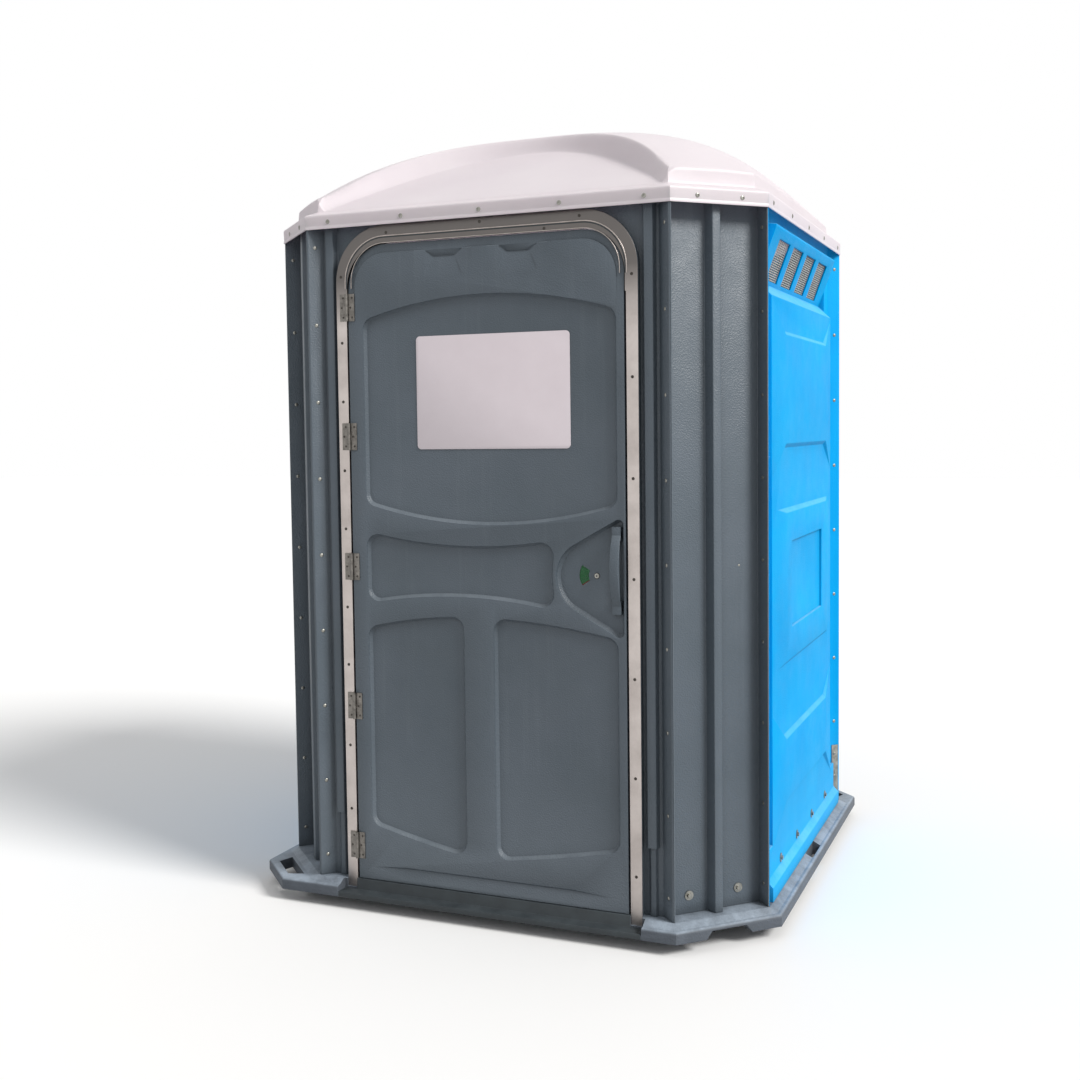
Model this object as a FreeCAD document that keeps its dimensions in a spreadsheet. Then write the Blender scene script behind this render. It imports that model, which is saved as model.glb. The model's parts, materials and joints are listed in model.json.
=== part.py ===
import FreeCAD, Part
import math
import os
import re
import Sketcher

# Portable toilet cabin with a wide hinged door, millimetres, +Z up.
# X runs to the right of someone facing the door, Y runs to the back.
# The origin lies on the ground under the middle of the base.

Vector = FreeCAD.Vector
doc = FreeCAD.newDocument("portable_toilet_cabin")
sheet = doc.addObject("Spreadsheet::Sheet", "sizes")

SIZES = {
    # octagonal cabin, measured over the tips of the screw flanges
    "cabin_width": 1520,
    "cabin_depth": 1540,
    "corner_cut": 210,
    "flange_reach": 34,
    "flange_width": 5.6,
    "wall_depth": 28,
    "corner_skin": 5,
    "corner_rib_width": 24,
    "corner_rib_foot": 40,
    "corner_rib_height": 30,
    # doorway, and the walls that reach over it
    "doorway_margin": 335,
    "doorway_half_width": "=cabin_width / 2 - doorway_margin",
    "doorway_height": 1877,
    "doorway_corner": 124,
    "header_height": 33,
    "wall_height": "=doorway_height + header_height",
    # skid base
    "base_height": 80,
    "deck_thickness": 45,
    "ledge_reach": 38,
    "ledge_drop": 12,
    "ledge_round": 9,
    "plain_corner_cut": 232,
    "handle_corner_cut": 138,
    "handle_slot_width": 44,
    "handle_slot_length": 170,
    "handle_bar_width": 26,
    "side_slot_width": 26,
    "side_slot_length": 130,
    "undercut_depth": 22,
    "undercut_length": 150,
    "undercut_reach": 90,
    "curb_height": 90,
    "curb_width": 10,
    "tread_drop": 32,
    "skid_width": 110,
    "skid_setback": 120,
    "skid_ramp": 60,
    "skid_spacing": 560,
    "floor_thickness": 5,
    # roof
    "skirt_height": 40,
    "skirt_lip": 3,
    "roof_skin": 4,
    "roof_ledge_width": 42,
    "roof_ledge_rise": 14,
    "roof_step_height": 46,
    "roof_step_draft": 4,
    "dome_rise": 220,
    "scoop_depth": 364,
    "scoop_band": 42,
    # side and rear wall relief
    "block_margin": 69,
    "block_reach": 21,
    "kick_height": 140,
    "bead_reach": 17,
    "bead_height": 40,
    "pad_reach": 11,
    "pad_half_width": 315,
    "pad_bevel": 12,
    "low_pad_bottom": 220,
    "low_pad_height": 205,
    "mid_pad_bottom": 628,
    "mid_pad_height": 458,
    "vent_drop": 223,
    "vent_bottom": "=wall_height - vent_drop",
    "vent_pad_gap": 90,
    "top_pad_bottom": 1262,
    "top_pad_height": "=vent_bottom - vent_pad_gap - top_pad_bottom",
    "pad_flare": 86,
    "pad_corner": 74,
    "pocket_size": 236,
    "pocket_depth": 8,
    "vent_ledge_rise": 40,
    "vent_height": 148,
    "vent_lean": 41,
    "vent_web": 8,
    "vent_slots": 4,
    "vent_slot_gap": 52,
    "vent_end_web": 89,
    "vent_slot_margin": 12,
    "screen_thickness": 2,
    # door frame and sill
    "frame_strip": 33,
    "frame_strip_thickness": 3,
    "frame_proud": 26,
    "frame_leg": 43,
    "frame_stop": 12,
    "frame_foot": 24,
    "front_rib_width": 35,
    "front_rib_height": 18,
    "front_rib_start": 190,
    "sill_thickness": 3,
    # door
    "door_gap": 6,
    "door_top_gap": 20,
    "frame_lip": 17,
    "door_lift": 5,
    "outer_shell_depth": 22,
    "inner_shell_depth": 18,
    "recess_depth": 12,
    "recess_corner": 38,
    "recess_draft": 8,
    "top_band_width": 25,
    "fold_height": 48,
    "fold_depth": 5,
    "top_band_side": 21,
    "top_band_depth": 6,
    "top_band_fade": 180,
    "top_band_notch": 19,
    "top_notch_spread": 113,
    "top_notch_ramp": 64,
    "hinge_side_margin": 46,
    "lock_side_margin": 22,
    "upper_recess_bottom": 1116,
    "upper_recess_top": 1642,
    "upper_recess_arch": 59,
    "upper_recess_bow": 57,
    "middle_recess_bottom": 824,
    "middle_recess_top": 1036,
    "middle_recess_inset": 197,
    "middle_recess_bow": 30,
    "middle_recess_waist": 14,
    "lower_recess_bottom": 106,
    "lower_recess_top": 798,
    "lower_recess_drop": 43,
    "lower_recess_rise": 66,
    "post_centre": -18,
    "post_width": 91,
    "inner_panel_margin": 70,
    "inner_panel_depth": 8,
    "inner_panel_corner": 40,
    "inner_low_bottom": 120,
    "inner_low_height": 640,
    "inner_high_bottom": 1140,
    "inner_high_height": 560,
    "plate_width": 467,
    "plate_height": 320,
    "plate_centre_height": 1431,
    "plate_offset": 27,
    "plate_thickness": 2,
    "plate_corner": 12,
    # lock
    "lock_height": 925,
    "lock_inset": 88,
    "lock_recess_reach": 307,
    "lock_recess_centre": 920,
    "lock_recess_height": 340,
    "lock_recess_edge": 6,
    "lock_recess_depth": 16,
    "lock_recess_bow": 102,
    "disc_radius": 55,
    "disc_thickness": 2,
    "disc_play": 1,
    "window_inner": 24,
    "window_outer": 51,
    "window_half_angle": 34,
    "spindle_radius": 5,
    "spindle_play": 0.4,
    "screw_head_radius": 6.5,
    "bolt_arm_length": 112,
    "bolt_arm_width": 22,
    "bolt_arm_thickness": 6,
    "bolt_arm_play": 0.6,
    "keeper_thickness": 4,
    "thumb_length": 64,
    "thumb_width": 12,
    "thumb_depth": 22,
    # pull handles
    "pull_height": 238,
    "pull_centre": 941,
    "pull_width": 26,
    "pull_thickness": 12,
    "pull_clearance": 26,
    "inner_pull_height": 160,
    # hinges
    "hinge_length": 78,
    "hinge_leaf": 19,
    "hinge_leaf_thickness": 2,
    "knuckle_radius": 4.75,
    "knuckle_play": 0.3,
    "pin_radius": 2.5,
    "hinge_play": 0.5,
    "hinge_height_a": 103,
    "hinge_height_b": 519,
    "hinge_height_c": 930,
    "hinge_height_d": 1309,
    "hinge_top_drop": 196,
    "hinge_height_e": "=doorway_height - hinge_top_drop",
    # fixings
    "washer_radius": 13,
    "washer_thickness": 2,
    "bolt_head_radius": 6,
    "bolt_head_height": 5,
    "corner_bolt_spread": 77,
    "corner_bolt_height": 50,
    "side_bolt_height": 73,
    "side_bolt_pitch": 234,
    "bracket_height": 200,
    "bracket_width": 26,
    "bracket_thickness": 2,
    # tank and seat
    "tank_width": 900,
    "tank_depth": 424,
    "tank_height": 400,
    "tank_wall": 6,
    "tank_corner": 40,
    "deck_plate": 6,
    "seat_setback": 266,
    "seat_half_width": 185,
    "seat_half_depth": 210,
    "seat_thickness": 22,
    "seat_hole_half_width": 112,
    "seat_hole_half_depth": 145,
    "lid_thickness": 16,
    "lid_play": 0.3,
    "lid_hinge_gap": 13,
    "lid_pin_radius": 4,
    "lid_lug_radius": 9,
    "lid_post_spacing": 120,
    "lid_post_width": 16,
    # pipes and rails
    "pipe_radius": 40,
    "pipe_wall": 3,
    "pipe_offset": 380,
    "pipe_setback": 68,
    "pipe_rise": 75,
    "pipe_top": "=wall_height + pipe_rise",
    "clamp_drop": 187,
    "clamp_height": "=vent_bottom - clamp_drop",
    "clamp_band": 26,
    "rail_radius": 16,
    "rail_reach": 60,
    "rail_bend": 42,
    "rail_flange_radius": 38,
    "rail_flange_thickness": 6,
    "side_rail_height": 850,
    "side_rail_setback": 230,
    "side_rail_clear": 130,
    "side_rail_length": "=cabin_depth - 2 * corner_cut - side_rail_setback - side_rail_clear",
    "rear_rail_height": 1010,
    "rear_rail_length": 560,
    "rear_rail_centre": -60,
    # urinal
    "urinal_centre": -60,
    "urinal_width": 300,
    "urinal_low": 560,
    "urinal_high": 900,
    "urinal_reach": 170,
    "urinal_foot": 70,
    "urinal_wall": 6,
    "drain_radius": 16,
    "drain_bend": 60,
    "drain_height": 230,
    "drain_entry": 90,
    # paper holder and hook
    "roll_radius": 58,
    "roll_width": 112,
    "roll_core": 20,
    "roll_play": 0.5,
    "roll_height": 640,
    "roll_clear": 310,
    "roll_front": "=cabin_depth / 2 - corner_cut - roll_clear",
    "roll_wall_gap": 14,
    "rod_radius": 19.5,
    "holder_plate": 4,
    "hook_drop": 187,
    "hook_height": "=vent_bottom - hook_drop",
    "hook_setback": 180,
    "hook_reach": 52,
}

for row, (word, number) in enumerate(SIZES.items(), start=1):
    sheet.set(f"A{row}", word)
    sheet.set(f"B{row}", str(number))
    sheet.setAlias(f"B{row}", word)
doc.recompute()

WORD = re.compile(r"[a-z][a-z_]*[a-z]")


def on_sheet(formula):
    """A formula of plain words, written with the sheet's cells."""
    return WORD.sub(lambda m: "sizes." + m.group() if m.group() in SIZES else m.group(), formula)


def num(formula):
    """The number that a formula of the sheet's words gives now."""
    return float(sheet.evalExpression(str(formula)))


def bind(thing, prop, formula):
    thing.setExpression(prop, on_sheet(formula))


# Places that many pieces share, as formulas of the driving sizes.
HALF_W = "(cabin_width / 2)"
HALF_D = "(cabin_depth / 2)"
FRONT_TIP = "(cabin_width / 2 - corner_cut)"
SIDE_TIP = "(cabin_depth / 2 - corner_cut)"
WALL_X = "(cabin_width / 2 - flange_reach)"
WALL_Y = "(cabin_depth / 2 - flange_reach)"
INNER_X = "(cabin_width / 2 - flange_reach - wall_depth)"
INNER_Y = "(cabin_depth / 2 - flange_reach - wall_depth)"
FLOOR_Z = "(base_height + floor_thickness)"
SKIRT_Z = "(base_height + wall_height)"
WALL_TOP = "(base_height + wall_height + skirt_height - roof_skin)"
FRAME_FACE = "(-cabin_depth / 2 + flange_reach - frame_proud)"
STRIP_BACK = f"({FRAME_FACE} + frame_strip_thickness)"
DOOR_BACK = f"({FRAME_FACE} + outer_shell_depth + inner_shell_depth)"
DOOR_SEAM = f"({FRAME_FACE} + outer_shell_depth)"
RECESS_FLOOR = f"({FRAME_FACE} + recess_depth)"
LOCK_FLOOR = f"({FRAME_FACE} + lock_recess_depth)"
DOOR_HALF = "(doorway_half_width - door_gap)"
DOOR_LOW = "(base_height + door_lift)"
DOOR_TOP = "(base_height + doorway_height - door_top_gap)"
LOCK_X = f"({DOOR_HALF} - lock_inset)"
LOCK_Z = "(base_height + lock_height)"
HINGE_X = "(-doorway_half_width + door_gap / 2)"
HINGE_Y = f"({FRAME_FACE} - knuckle_radius - knuckle_play)"
TANK_BACK = f"({INNER_Y} - curb_width - 4)"
DECK_TOP = f"({FLOOR_Z} + tank_height + deck_plate)"
SEAT_TOP = f"({DECK_TOP} + seat_thickness)"
SEAT_Y = f"({INNER_Y} - seat_setback)"
LID_AXIS_Y = f"({SEAT_Y} + seat_half_depth + lid_hinge_gap)"
LID_AXIS_Z = f"({SEAT_TOP} + lid_play + lid_thickness / 2)"

nodes = {}


def node(thing, label):
    """Names a finished sub-part; its file takes the same name."""
    thing.Label = label
    nodes[label] = thing
    return thing


def plane_of(body, role):
    return next(f for f in body.Origin.OriginFeatures if f.Role == role)


def sketch_on(body, name, role, offset):
    sketch = body.newObject("Sketcher::SketchObject", name)
    sketch.AttachmentSupport = [(plane_of(body, role), "")]
    sketch.MapMode = "FlatFace"
    bind(sketch, "AttachmentOffset.Base.z", offset)
    return sketch


def pin_point(sketch, geometry, point, across, up):
    """Ties one point of the sketch to the sheet, across and up from the origin."""
    for kind, formula in (("DistanceX", across), ("DistanceY", up)):
        index = sketch.addConstraint(
            Sketcher.Constraint(kind, -1, 1, geometry, point, num(formula)))
        bind(sketch, f"Constraints[{index}]", formula)


def draw_polygon(sketch, corners):
    spots = [Vector(num(a), num(b), 0) for a, b in corners]
    first = sketch.GeometryCount
    for here, there in zip(spots, spots[1:] + spots[:1]):
        sketch.addGeometry(Part.LineSegment(here, there), False)
    for i, (across, up) in enumerate(corners):
        follower = first + (i + 1) % len(corners)
        sketch.addConstraint(Sketcher.Constraint("Coincident", first + i, 2, follower, 1))
        pin_point(sketch, first + i, 1, across, up)


def draw_circle(sketch, across, up, radius):
    circle = Part.Circle(Vector(num(across), num(up), 0), Vector(0, 0, 1), num(radius))
    index = sketch.addGeometry(circle, False)
    pin_point(sketch, index, 3, across, up)
    size = sketch.addConstraint(Sketcher.Constraint("Radius", index, num(radius)))
    bind(sketch, f"Constraints[{size}]", radius)


ROLES = {"XY": "XY_Plane", "XZ": "XZ_Plane", "YZ": "YZ_Plane"}


def start_of(plane, low, high):
    """A sketch on XZ faces -Y, so its pad starts at the higher Y."""
    return f"-({high})" if plane == "XZ" else low


def pad(body, name, plane, low, high, corners=None, circle=None, holes=()):
    sketch = sketch_on(body, name + "_outline", ROLES[plane], start_of(plane, low, high))
    if corners:
        draw_polygon(sketch, corners)
    if circle:
        draw_circle(sketch, *circle)
    for hole in holes:
        draw_circle(sketch, *hole)
    feature = body.newObject("PartDesign::Pad", name)
    feature.Profile = sketch
    bind(feature, "Length", f"({high}) - ({low})")
    doc.recompute()
    return feature


def new_body(name):
    return doc.addObject("PartDesign::Body", name)


def round_edges(body, name, chosen, radius):
    """Rounds the edges of the body's tip that the test chooses."""
    tip = body.Tip
    edges = [f"Edge{i}" for i, edge in enumerate(tip.Shape.Edges, start=1) if chosen(edge)]
    feature = body.newObject("PartDesign::Fillet", name)
    feature.Base = (tip, edges)
    bind(feature, "Radius", radius)
    doc.recompute()
    return feature


def runs_along(axis):
    def test(edge):
        if len(edge.Vertexes) < 2:
            return False
        run = edge.Vertexes[1].Point - edge.Vertexes[0].Point
        return run.Length > 1e-6 and abs(abs(run.normalize().dot(axis)) - 1) < 1e-6
    return test


AXIS_X = Vector(1, 0, 0)
AXIS_Y = Vector(0, 1, 0)
AXIS_Z = Vector(0, 0, 1)


def box(name, x, y, z):
    """A block between two formulas on each axis."""
    block = doc.addObject("Part::Box", name)
    for side, place, (low, high) in (("Length", "x", x), ("Width", "y", y), ("Height", "z", z)):
        bind(block, side, f"({high}) - ({low})")
        bind(block, "Placement.Base." + place, low)
    return block


TURN = {
    "x": FreeCAD.Rotation(AXIS_Y, 90),
    "y": FreeCAD.Rotation(AXIS_X, -90),
    "z": FreeCAD.Rotation(),
}


def cylinder(name, axis, radius, length, x, y, z):
    rod = doc.addObject("Part::Cylinder", name)
    rod.Placement = FreeCAD.Placement(Vector(), TURN[axis])
    bind(rod, "Radius", radius)
    bind(rod, "Height", length)
    for place, formula in (("x", x), ("y", y), ("z", z)):
        bind(rod, "Placement.Base." + place, formula)
    return rod


def fuse(name, *pieces):
    whole = doc.addObject("Part::MultiFuse", name)
    whole.Shapes = list(pieces)
    whole.Refine = True
    return whole


def cut(name, base, *tools):
    tool = tools[0] if len(tools) == 1 else fuse(name + "_tools", *tools)
    rest = doc.addObject("Part::Cut", name)
    rest.Base = base
    rest.Tool = tool
    rest.Refine = True
    return rest


def feature(label, shape, placement=None):
    """A sub-part whose shape the code below makes from the sheet's values."""
    thing = doc.addObject("Part::Feature", label)
    thing.Shape = shape
    if placement is not None:
        thing.Placement = placement
    return node(thing, label)


def prism(points, direction):
    """A solid swept from a flat outline of points."""
    wire = Part.makePolygon(points + points[:1])
    return Part.Face(wire).extrude(direction)


def slab(points, low, high):
    return prism([Vector(x, y, low) for x, y in points], Vector(0, 0, high - low))


def block(x0, x1, y0, y1, z0, z1):
    return Part.makeBox(x1 - x0, y1 - y0, z1 - z0, Vector(x0, y0, z0))


def octagon(offset, z=0.0):
    """Corners of the cabin's plan, each side moved out by the offset."""
    hw = num(HALF_W) + offset
    hd = num(HALF_D) + offset
    diagonal = (num(HALF_W) + num(HALF_D) - num("corner_cut")) / math.sqrt(2) + offset
    leg = hw + hd - math.sqrt(2) * diagonal
    quarter = [(hw, -hd + leg), (hw, hd - leg), (hw - leg, hd), (-hw + leg, hd)]
    return [Vector(x, y, z) for x, y in quarter + [(-x, -y) for x, y in quarter]]


def octagon_prism(offset, low, high):
    return prism(octagon(offset, low), Vector(0, 0, high - low))


def octagon_loft(low_offset, low, high_offset, high):
    wires = [Part.makePolygon(octagon(offset, z) + octagon(offset, z)[:1])
             for offset, z in ((low_offset, low), (high_offset, high))]
    return Part.makeLoft(wires, True, True)


# Base: a moulded tray with a wide ledge, lifting handles at two opposite
# corners, a slot in each side ledge, and a curb that the walls are bolted to.

def base_outline(offset=0.0):
    hx = num(f"{HALF_W} + ledge_reach") + offset
    hy = num(f"{HALF_D} + ledge_reach") + offset
    slope = offset * (2 - math.sqrt(2))
    plain = num("plain_corner_cut") + slope
    handle = num("handle_corner_cut") + slope
    half = [(hx, -hy + plain), (hx, hy - handle), (hx - handle, hy), (-hx + plain, hy)]
    return half + [(-x, -y) for x, y in half]


def handle_slot(side):
    """The finger slot behind the lifting bar, at the front left or the rear right."""
    hx = num(f"{HALF_W} + ledge_reach")
    hy = num(f"{HALF_D} + ledge_reach")
    cut_in = num("handle_corner_cut")
    out = Vector(1, 1, 0).normalize()
    along = Vector(-1, 1, 0).normalize()
    edge = Vector(hx - cut_in / 2, hy - cut_in / 2, 0)
    far = edge - out * num("handle_bar_width")
    near = far - out * num("handle_slot_width")
    half = num("handle_slot_length") / 2
    taper = num("handle_slot_width") / 2
    corners = [far + along * (half - taper), far - along * (half - taper),
               near - along * half, near + along * half]
    low = num("base_height - deck_thickness") - 1
    high = num("base_height") + 1
    return slab([(side * p.x, side * p.y) for p in corners], low, high)


def make_base():
    top = num("base_height")
    bottom = num("base_height - deck_thickness")
    ledge = top - num("ledge_drop")
    tray = slab(base_outline(), bottom, ledge)
    rim = [e for e in tray.Edges
           if abs(e.BoundBox.ZMin - ledge) < 1e-6 and abs(e.BoundBox.ZMax - ledge) < 1e-6]
    tray = tray.makeFillet(num("ledge_round"), rim)
    rise = octagon_loft(num("ledge_drop") * 2, ledge, 2.0, top)
    tray = tray.fuse(rise)
    inner = -num("flange_reach") - num("wall_depth")
    curb_top = top + num("curb_height")
    # the corner walls are thinner, so there the curb is filled out to their inner face
    corner_in = -num("flange_reach") * math.sqrt(2) - num("corner_skin")
    ring = curb_ring(inner, corner_in, 0.0, top, curb_top)
    hollow = curb_ring(inner, corner_in, num("curb_width"), top - 1, curb_top + 1)
    door_half = num("doorway_half_width + frame_strip + 20")
    gateway = block(-door_half, door_half, -num(HALF_D), -num(INNER_Y) + num("curb_width") * 3,
                    top, curb_top + 1)
    tray = tray.fuse(ring.cut(hollow).cut(gateway))
    tread_half = num("doorway_half_width + frame_strip + 10")
    tread_back = num(FRAME_FACE) - 3
    tread = block(-tread_half, tread_half, -num(f"{HALF_D} + ledge_reach") - 1, tread_back,
                  top - num("tread_drop"), top + 1)
    lip_half = tread_half - 2
    tread_front = -num(f"{HALF_D} + ledge_reach")
    tread_lip = block(-lip_half, lip_half, tread_front - 1, tread_front + num("sill_thickness"),
                      bottom - 1, top - num("tread_drop") + 1)
    strip_in = num("doorway_half_width")
    strip_out = strip_in + num("frame_strip")
    foot_slots = [block(low, high, tread_back - 1, num(STRIP_BACK), top - num("frame_foot"), top + 1)
                  for low, high in ((strip_in, strip_out), (-strip_out, -strip_in))]
    cuts = [tread, tread_lip, handle_slot(1), handle_slot(-1)] + foot_slots
    slot_out = num(f"{HALF_W} + ledge_reach") - 12
    slot_in = slot_out - num("side_slot_width")
    half = num("side_slot_length") / 2
    for low, high in ((slot_in, slot_out), (-slot_out, -slot_in)):
        cuts.append(block(low, high, -half, half, bottom - 1, top + 1))
    cuts += [undercut(1), undercut(-1)]
    return tray.cut(cuts).removeSplitter()


def curb_ring(inner, corner_in, shrink, low, high):
    """Plan of the wall's inner face, set in by the shrink."""
    hw = num(HALF_W) + inner - shrink
    hd = num(HALF_D) + inner - shrink
    diagonal = (num(HALF_W) + num(HALF_D) - num("corner_cut")) / math.sqrt(2)
    leg = hw + hd - math.sqrt(2) * (diagonal + corner_in - shrink)
    quarter = [(hw, -hd + leg), (hw, hd - leg), (hw - leg, hd), (-hw + leg, hd)]
    return slab(quarter + [(-x, -y) for x, y in quarter], low, high)


def undercut(side):
    """A hand hold arched up into the edge of each plain corner."""
    hx = num(f"{HALF_W} + ledge_reach")
    hy = num(f"{HALF_D} + ledge_reach")
    cut_in = num("plain_corner_cut")
    out = Vector(1, -1, 0).normalize()
    along = Vector(1, 1, 0).normalize()
    edge = Vector(hx - cut_in / 2, -(hy - cut_in / 2), num("base_height - deck_thickness"))
    half = num("undercut_length") / 2
    rise = num("undercut_depth")
    start = edge + out * 20
    low = Vector(0, 0, -5)
    points = [start - along * half + low, start - along * (half - rise) + Vector(0, 0, rise),
              start + along * (half - rise) + Vector(0, 0, rise), start + along * half + low]
    shape = prism(points, out * -num("undercut_reach"))
    if side < 0:
        shape.rotate(Vector(), AXIS_Z, 180)
    return shape


feature("base", make_base())

for place, label in ((-1, "skid_left"), (0, "skid_middle"), (1, "skid_right")):
    skid = new_body(label)
    half_run = f"({HALF_D} - skid_setback)"
    under = "(base_height - deck_thickness)"
    pad(skid, label + "_runner", "YZ",
        f"{place} * skid_spacing - skid_width / 2", f"{place} * skid_spacing + skid_width / 2",
        [(f"-{half_run} + skid_ramp", "0"), (f"{half_run} - skid_ramp", "0"),
         (half_run, under), (f"-{half_run}", under)])
    node(skid, label)


def make_floor():
    inner = -num("flange_reach") - num("wall_depth")
    corner_in = -num("flange_reach") * math.sqrt(2) - num("corner_skin")
    sheet_plan = curb_ring(inner, corner_in, num("curb_width"),
                           num("base_height"), num(FLOOR_Z))
    tongue_half = num("doorway_half_width") - 12
    tongue = block(-tongue_half, tongue_half, -num(INNER_Y) - 2, -num(INNER_Y) + 40,
                   num("base_height"), num(FLOOR_Z))
    return sheet_plan.fuse(tongue).removeSplitter()


feature("floor_sheet", make_floor())

# Front wall: a deep moulded panel that turns out into a screw flange at each
# end, with a raised surround under the door frame and a rib on each side.

front = new_body("front_wall")
root = f"({FRONT_TIP} - flange_reach)"
inner_end = f"({root} - wall_depth)"
right_half = [
    (inner_end, f"-{INNER_Y}"),
    (root, f"-{WALL_Y}"),
    (FRONT_TIP, f"-{HALF_D}"),
    (f"{FRONT_TIP} - flange_width", f"-{HALF_D}"),
    (f"{root} - flange_width", f"-{WALL_Y}"),
]
left_half = [(f"-({across})", up) for across, up in reversed(right_half)]
pad(front, "front_wall_plan", "XY", "base_height", WALL_TOP, right_half + left_half)


def arch_body(name, half_width, top, low, y_low, y_high, corner):
    """An upright plate with its two top corners rounded."""
    body = new_body(name)
    pad(body, name + "_plate", "XZ", y_low, y_high,
        [(f"-({half_width})", low), (half_width, low), (half_width, top), (f"-({half_width})", top)])
    level = num(top)
    along = runs_along(AXIS_Y)
    round_edges(body, name + "_corners",
                lambda e: along(e) and abs(e.Vertexes[0].Point.z - level) < 1e-6, corner)
    return body


OPEN_HALF = "(doorway_half_width + frame_strip_thickness)"
OPEN_TOP = "(base_height + doorway_height + frame_strip_thickness)"
surround = arch_body("front_surround", "(doorway_half_width + frame_strip - 2)",
                     "(base_height + doorway_height + frame_strip - 2)", "base_height",
                     STRIP_BACK, f"-{WALL_Y} + 1", "(doorway_corner + frame_strip - 2)")
opening = arch_body("front_opening", OPEN_HALF, OPEN_TOP, "base_height - 1",
                    f"{FRAME_FACE} - 5", f"-{INNER_Y} + 5",
                    "(doorway_corner + frame_strip_thickness)")


def front_rib(name, side):
    """The upright rib between the frame and the flange, tapered at its foot."""
    body = new_body(name)
    middle = f"({side} * (({root} - flange_width) + doorway_half_width + frame_strip) / 2)"
    for part, width, height, low, high in (
            ("main", "front_rib_width", "front_rib_height",
             "base_height + front_rib_start", WALL_TOP),
            ("foot", "front_rib_width * 0.7", "front_rib_height * 0.45", "base_height",
             "base_height + front_rib_start + 5")):
        edge = f"-{WALL_Y}"
        pad(body, f"{name}_{part}", "XY", low, high, [
            (f"{middle} - {width} / 2", f"{edge} + 1"),
            (f"{middle} - {width} / 2", edge),
            (f"{middle} - {width} / 2 + 5", f"{edge} - {height}"),
            (f"{middle} + {width} / 2 - 5", f"{edge} - {height}"),
            (f"{middle} + {width} / 2", edge),
            (f"{middle} + {width} / 2", f"{edge} + 1")])
    return body


ribs = [front_rib("front_rib_left", -1), front_rib("front_rib_right", 1)]
node(cut("front_panel_cut", fuse("front_panel_solid", front, surround, *ribs), opening),
     "front_panel")

# Corner walls: a single skin bent to a channel, flanges outwards, with a rib
# down the middle. Seen along local X; local -Y is outwards.

CORNER_HALF = "(corner_cut / sqrt(2))"
FLANGE_OUT = "(flange_reach * sqrt(2))"
FLANGE_T = "(flange_width / sqrt(2))"
for label, side_x, side_y, angle in (
        ("corner_panel_front_right", 1, -1, 45), ("corner_panel_front_left", -1, -1, -45),
        ("corner_panel_rear_left", -1, 1, -135), ("corner_panel_rear_right", 1, 1, 135)):
    corner = new_body(label)
    right = [
        (CORNER_HALF, "corner_skin"),
        (CORNER_HALF, f"-{FLANGE_OUT}"),
        (f"{CORNER_HALF} - {FLANGE_T}", f"-{FLANGE_OUT}"),
        (f"{CORNER_HALF} - {FLANGE_T}", "0"),
        ("corner_rib_foot / 2", "0"),
        ("corner_rib_width / 2", "-corner_rib_height"),
    ]
    inside = [
        ("corner_rib_width / 2 - corner_skin", "corner_skin - corner_rib_height"),
        ("corner_rib_foot / 2 - corner_skin", "corner_skin"),
    ]
    mirrored = [(f"-({a})", b) for a, b in reversed(right)]
    hollow = [(f"-({a})", b) for a, b in inside] + list(reversed(inside))
    outline = right + mirrored + [hollow[1], hollow[0], hollow[3], hollow[2]]
    pad(corner, label + "_channel", "XY", "base_height", WALL_TOP, outline)
    corner.Placement = FreeCAD.Placement(Vector(), FreeCAD.Rotation(AXIS_Z, angle))
    bind(corner, "Placement.Base.x", f"{side_x} * (cabin_width / 2 - corner_cut / 2 - flange_reach)")
    bind(corner, "Placement.Base.y", f"{side_y} * (cabin_depth / 2 - corner_cut / 2 - flange_reach)")
    node(corner, label)

# Side and rear walls: one twin-skin moulding in three sizes. A broad block
# stands out between two upright channels; it carries three bevelled pads, a
# kick zone with a bead at the foot, and a vent pocket that leans in.


def bevelled_pad(face, half_block, half_pad, half_edge, low, high, spread):
    """A pad with a flat middle and long side facets that run out at the block's edge.

    A positive spread flares the pad's corners apart, a negative one cuts them."""
    bevel = num("pad_bevel")
    reach = num("pad_reach")
    rim = [(-half_block, high + spread), (-half_edge, high), (half_edge, high),
           (half_block, high + spread), (half_block, low - spread), (half_edge, low),
           (-half_edge, low), (-half_block, low - spread)]
    foot = [Vector(face, y, z) for y, z in rim]
    under = [Vector(face - 2, y, z) for y, z in rim]
    crown = [Vector(face + reach, y, z) for y, z in
             ((-half_pad, high - bevel), (half_pad, high - bevel),
              (half_pad, low + bevel), (-half_pad, low + bevel))]
    loops = [list(reversed(under)), crown,
             [foot[1], foot[2], crown[1], crown[0]], [foot[5], foot[6], crown[3], crown[2]],
             [foot[3], foot[4], crown[2], crown[1]], [foot[7], foot[0], crown[0], crown[3]],
             [foot[0], foot[1], crown[0]], [foot[2], foot[3], crown[1]],
             [foot[4], foot[5], crown[2]], [foot[6], foot[7], crown[3]]]
    loops += [[under[i], under[(i + 1) % 8], foot[(i + 1) % 8], foot[i]] for i in range(8)]
    faces = [Part.Face(Part.makePolygon(loop + loop[:1])) for loop in loops]
    solid = Part.makeSolid(Part.makeShell(faces))
    return solid if solid.Volume > 0 else solid.reversed()


def vent_line(wall):
    """Foot and head of the leaning vent face, as points across and up."""
    face = wall + num("block_reach")
    foot_z = num("base_height + vent_bottom + vent_ledge_rise")
    head_z = foot_z + num("vent_height")
    foot_x = face - num("vent_lean")
    head_x = face + num("pad_reach") + 3
    return (foot_x, foot_z), (head_x, head_z)


def vent_slots(half):
    """Count, width and pitch of the slots that share the vent between its end webs."""
    count = int(num("vent_slots"))
    gap = num("vent_slot_gap")
    width = (2 * (half - num("vent_end_web")) - (count - 1) * gap) / count
    return count, width, width + gap


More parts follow.
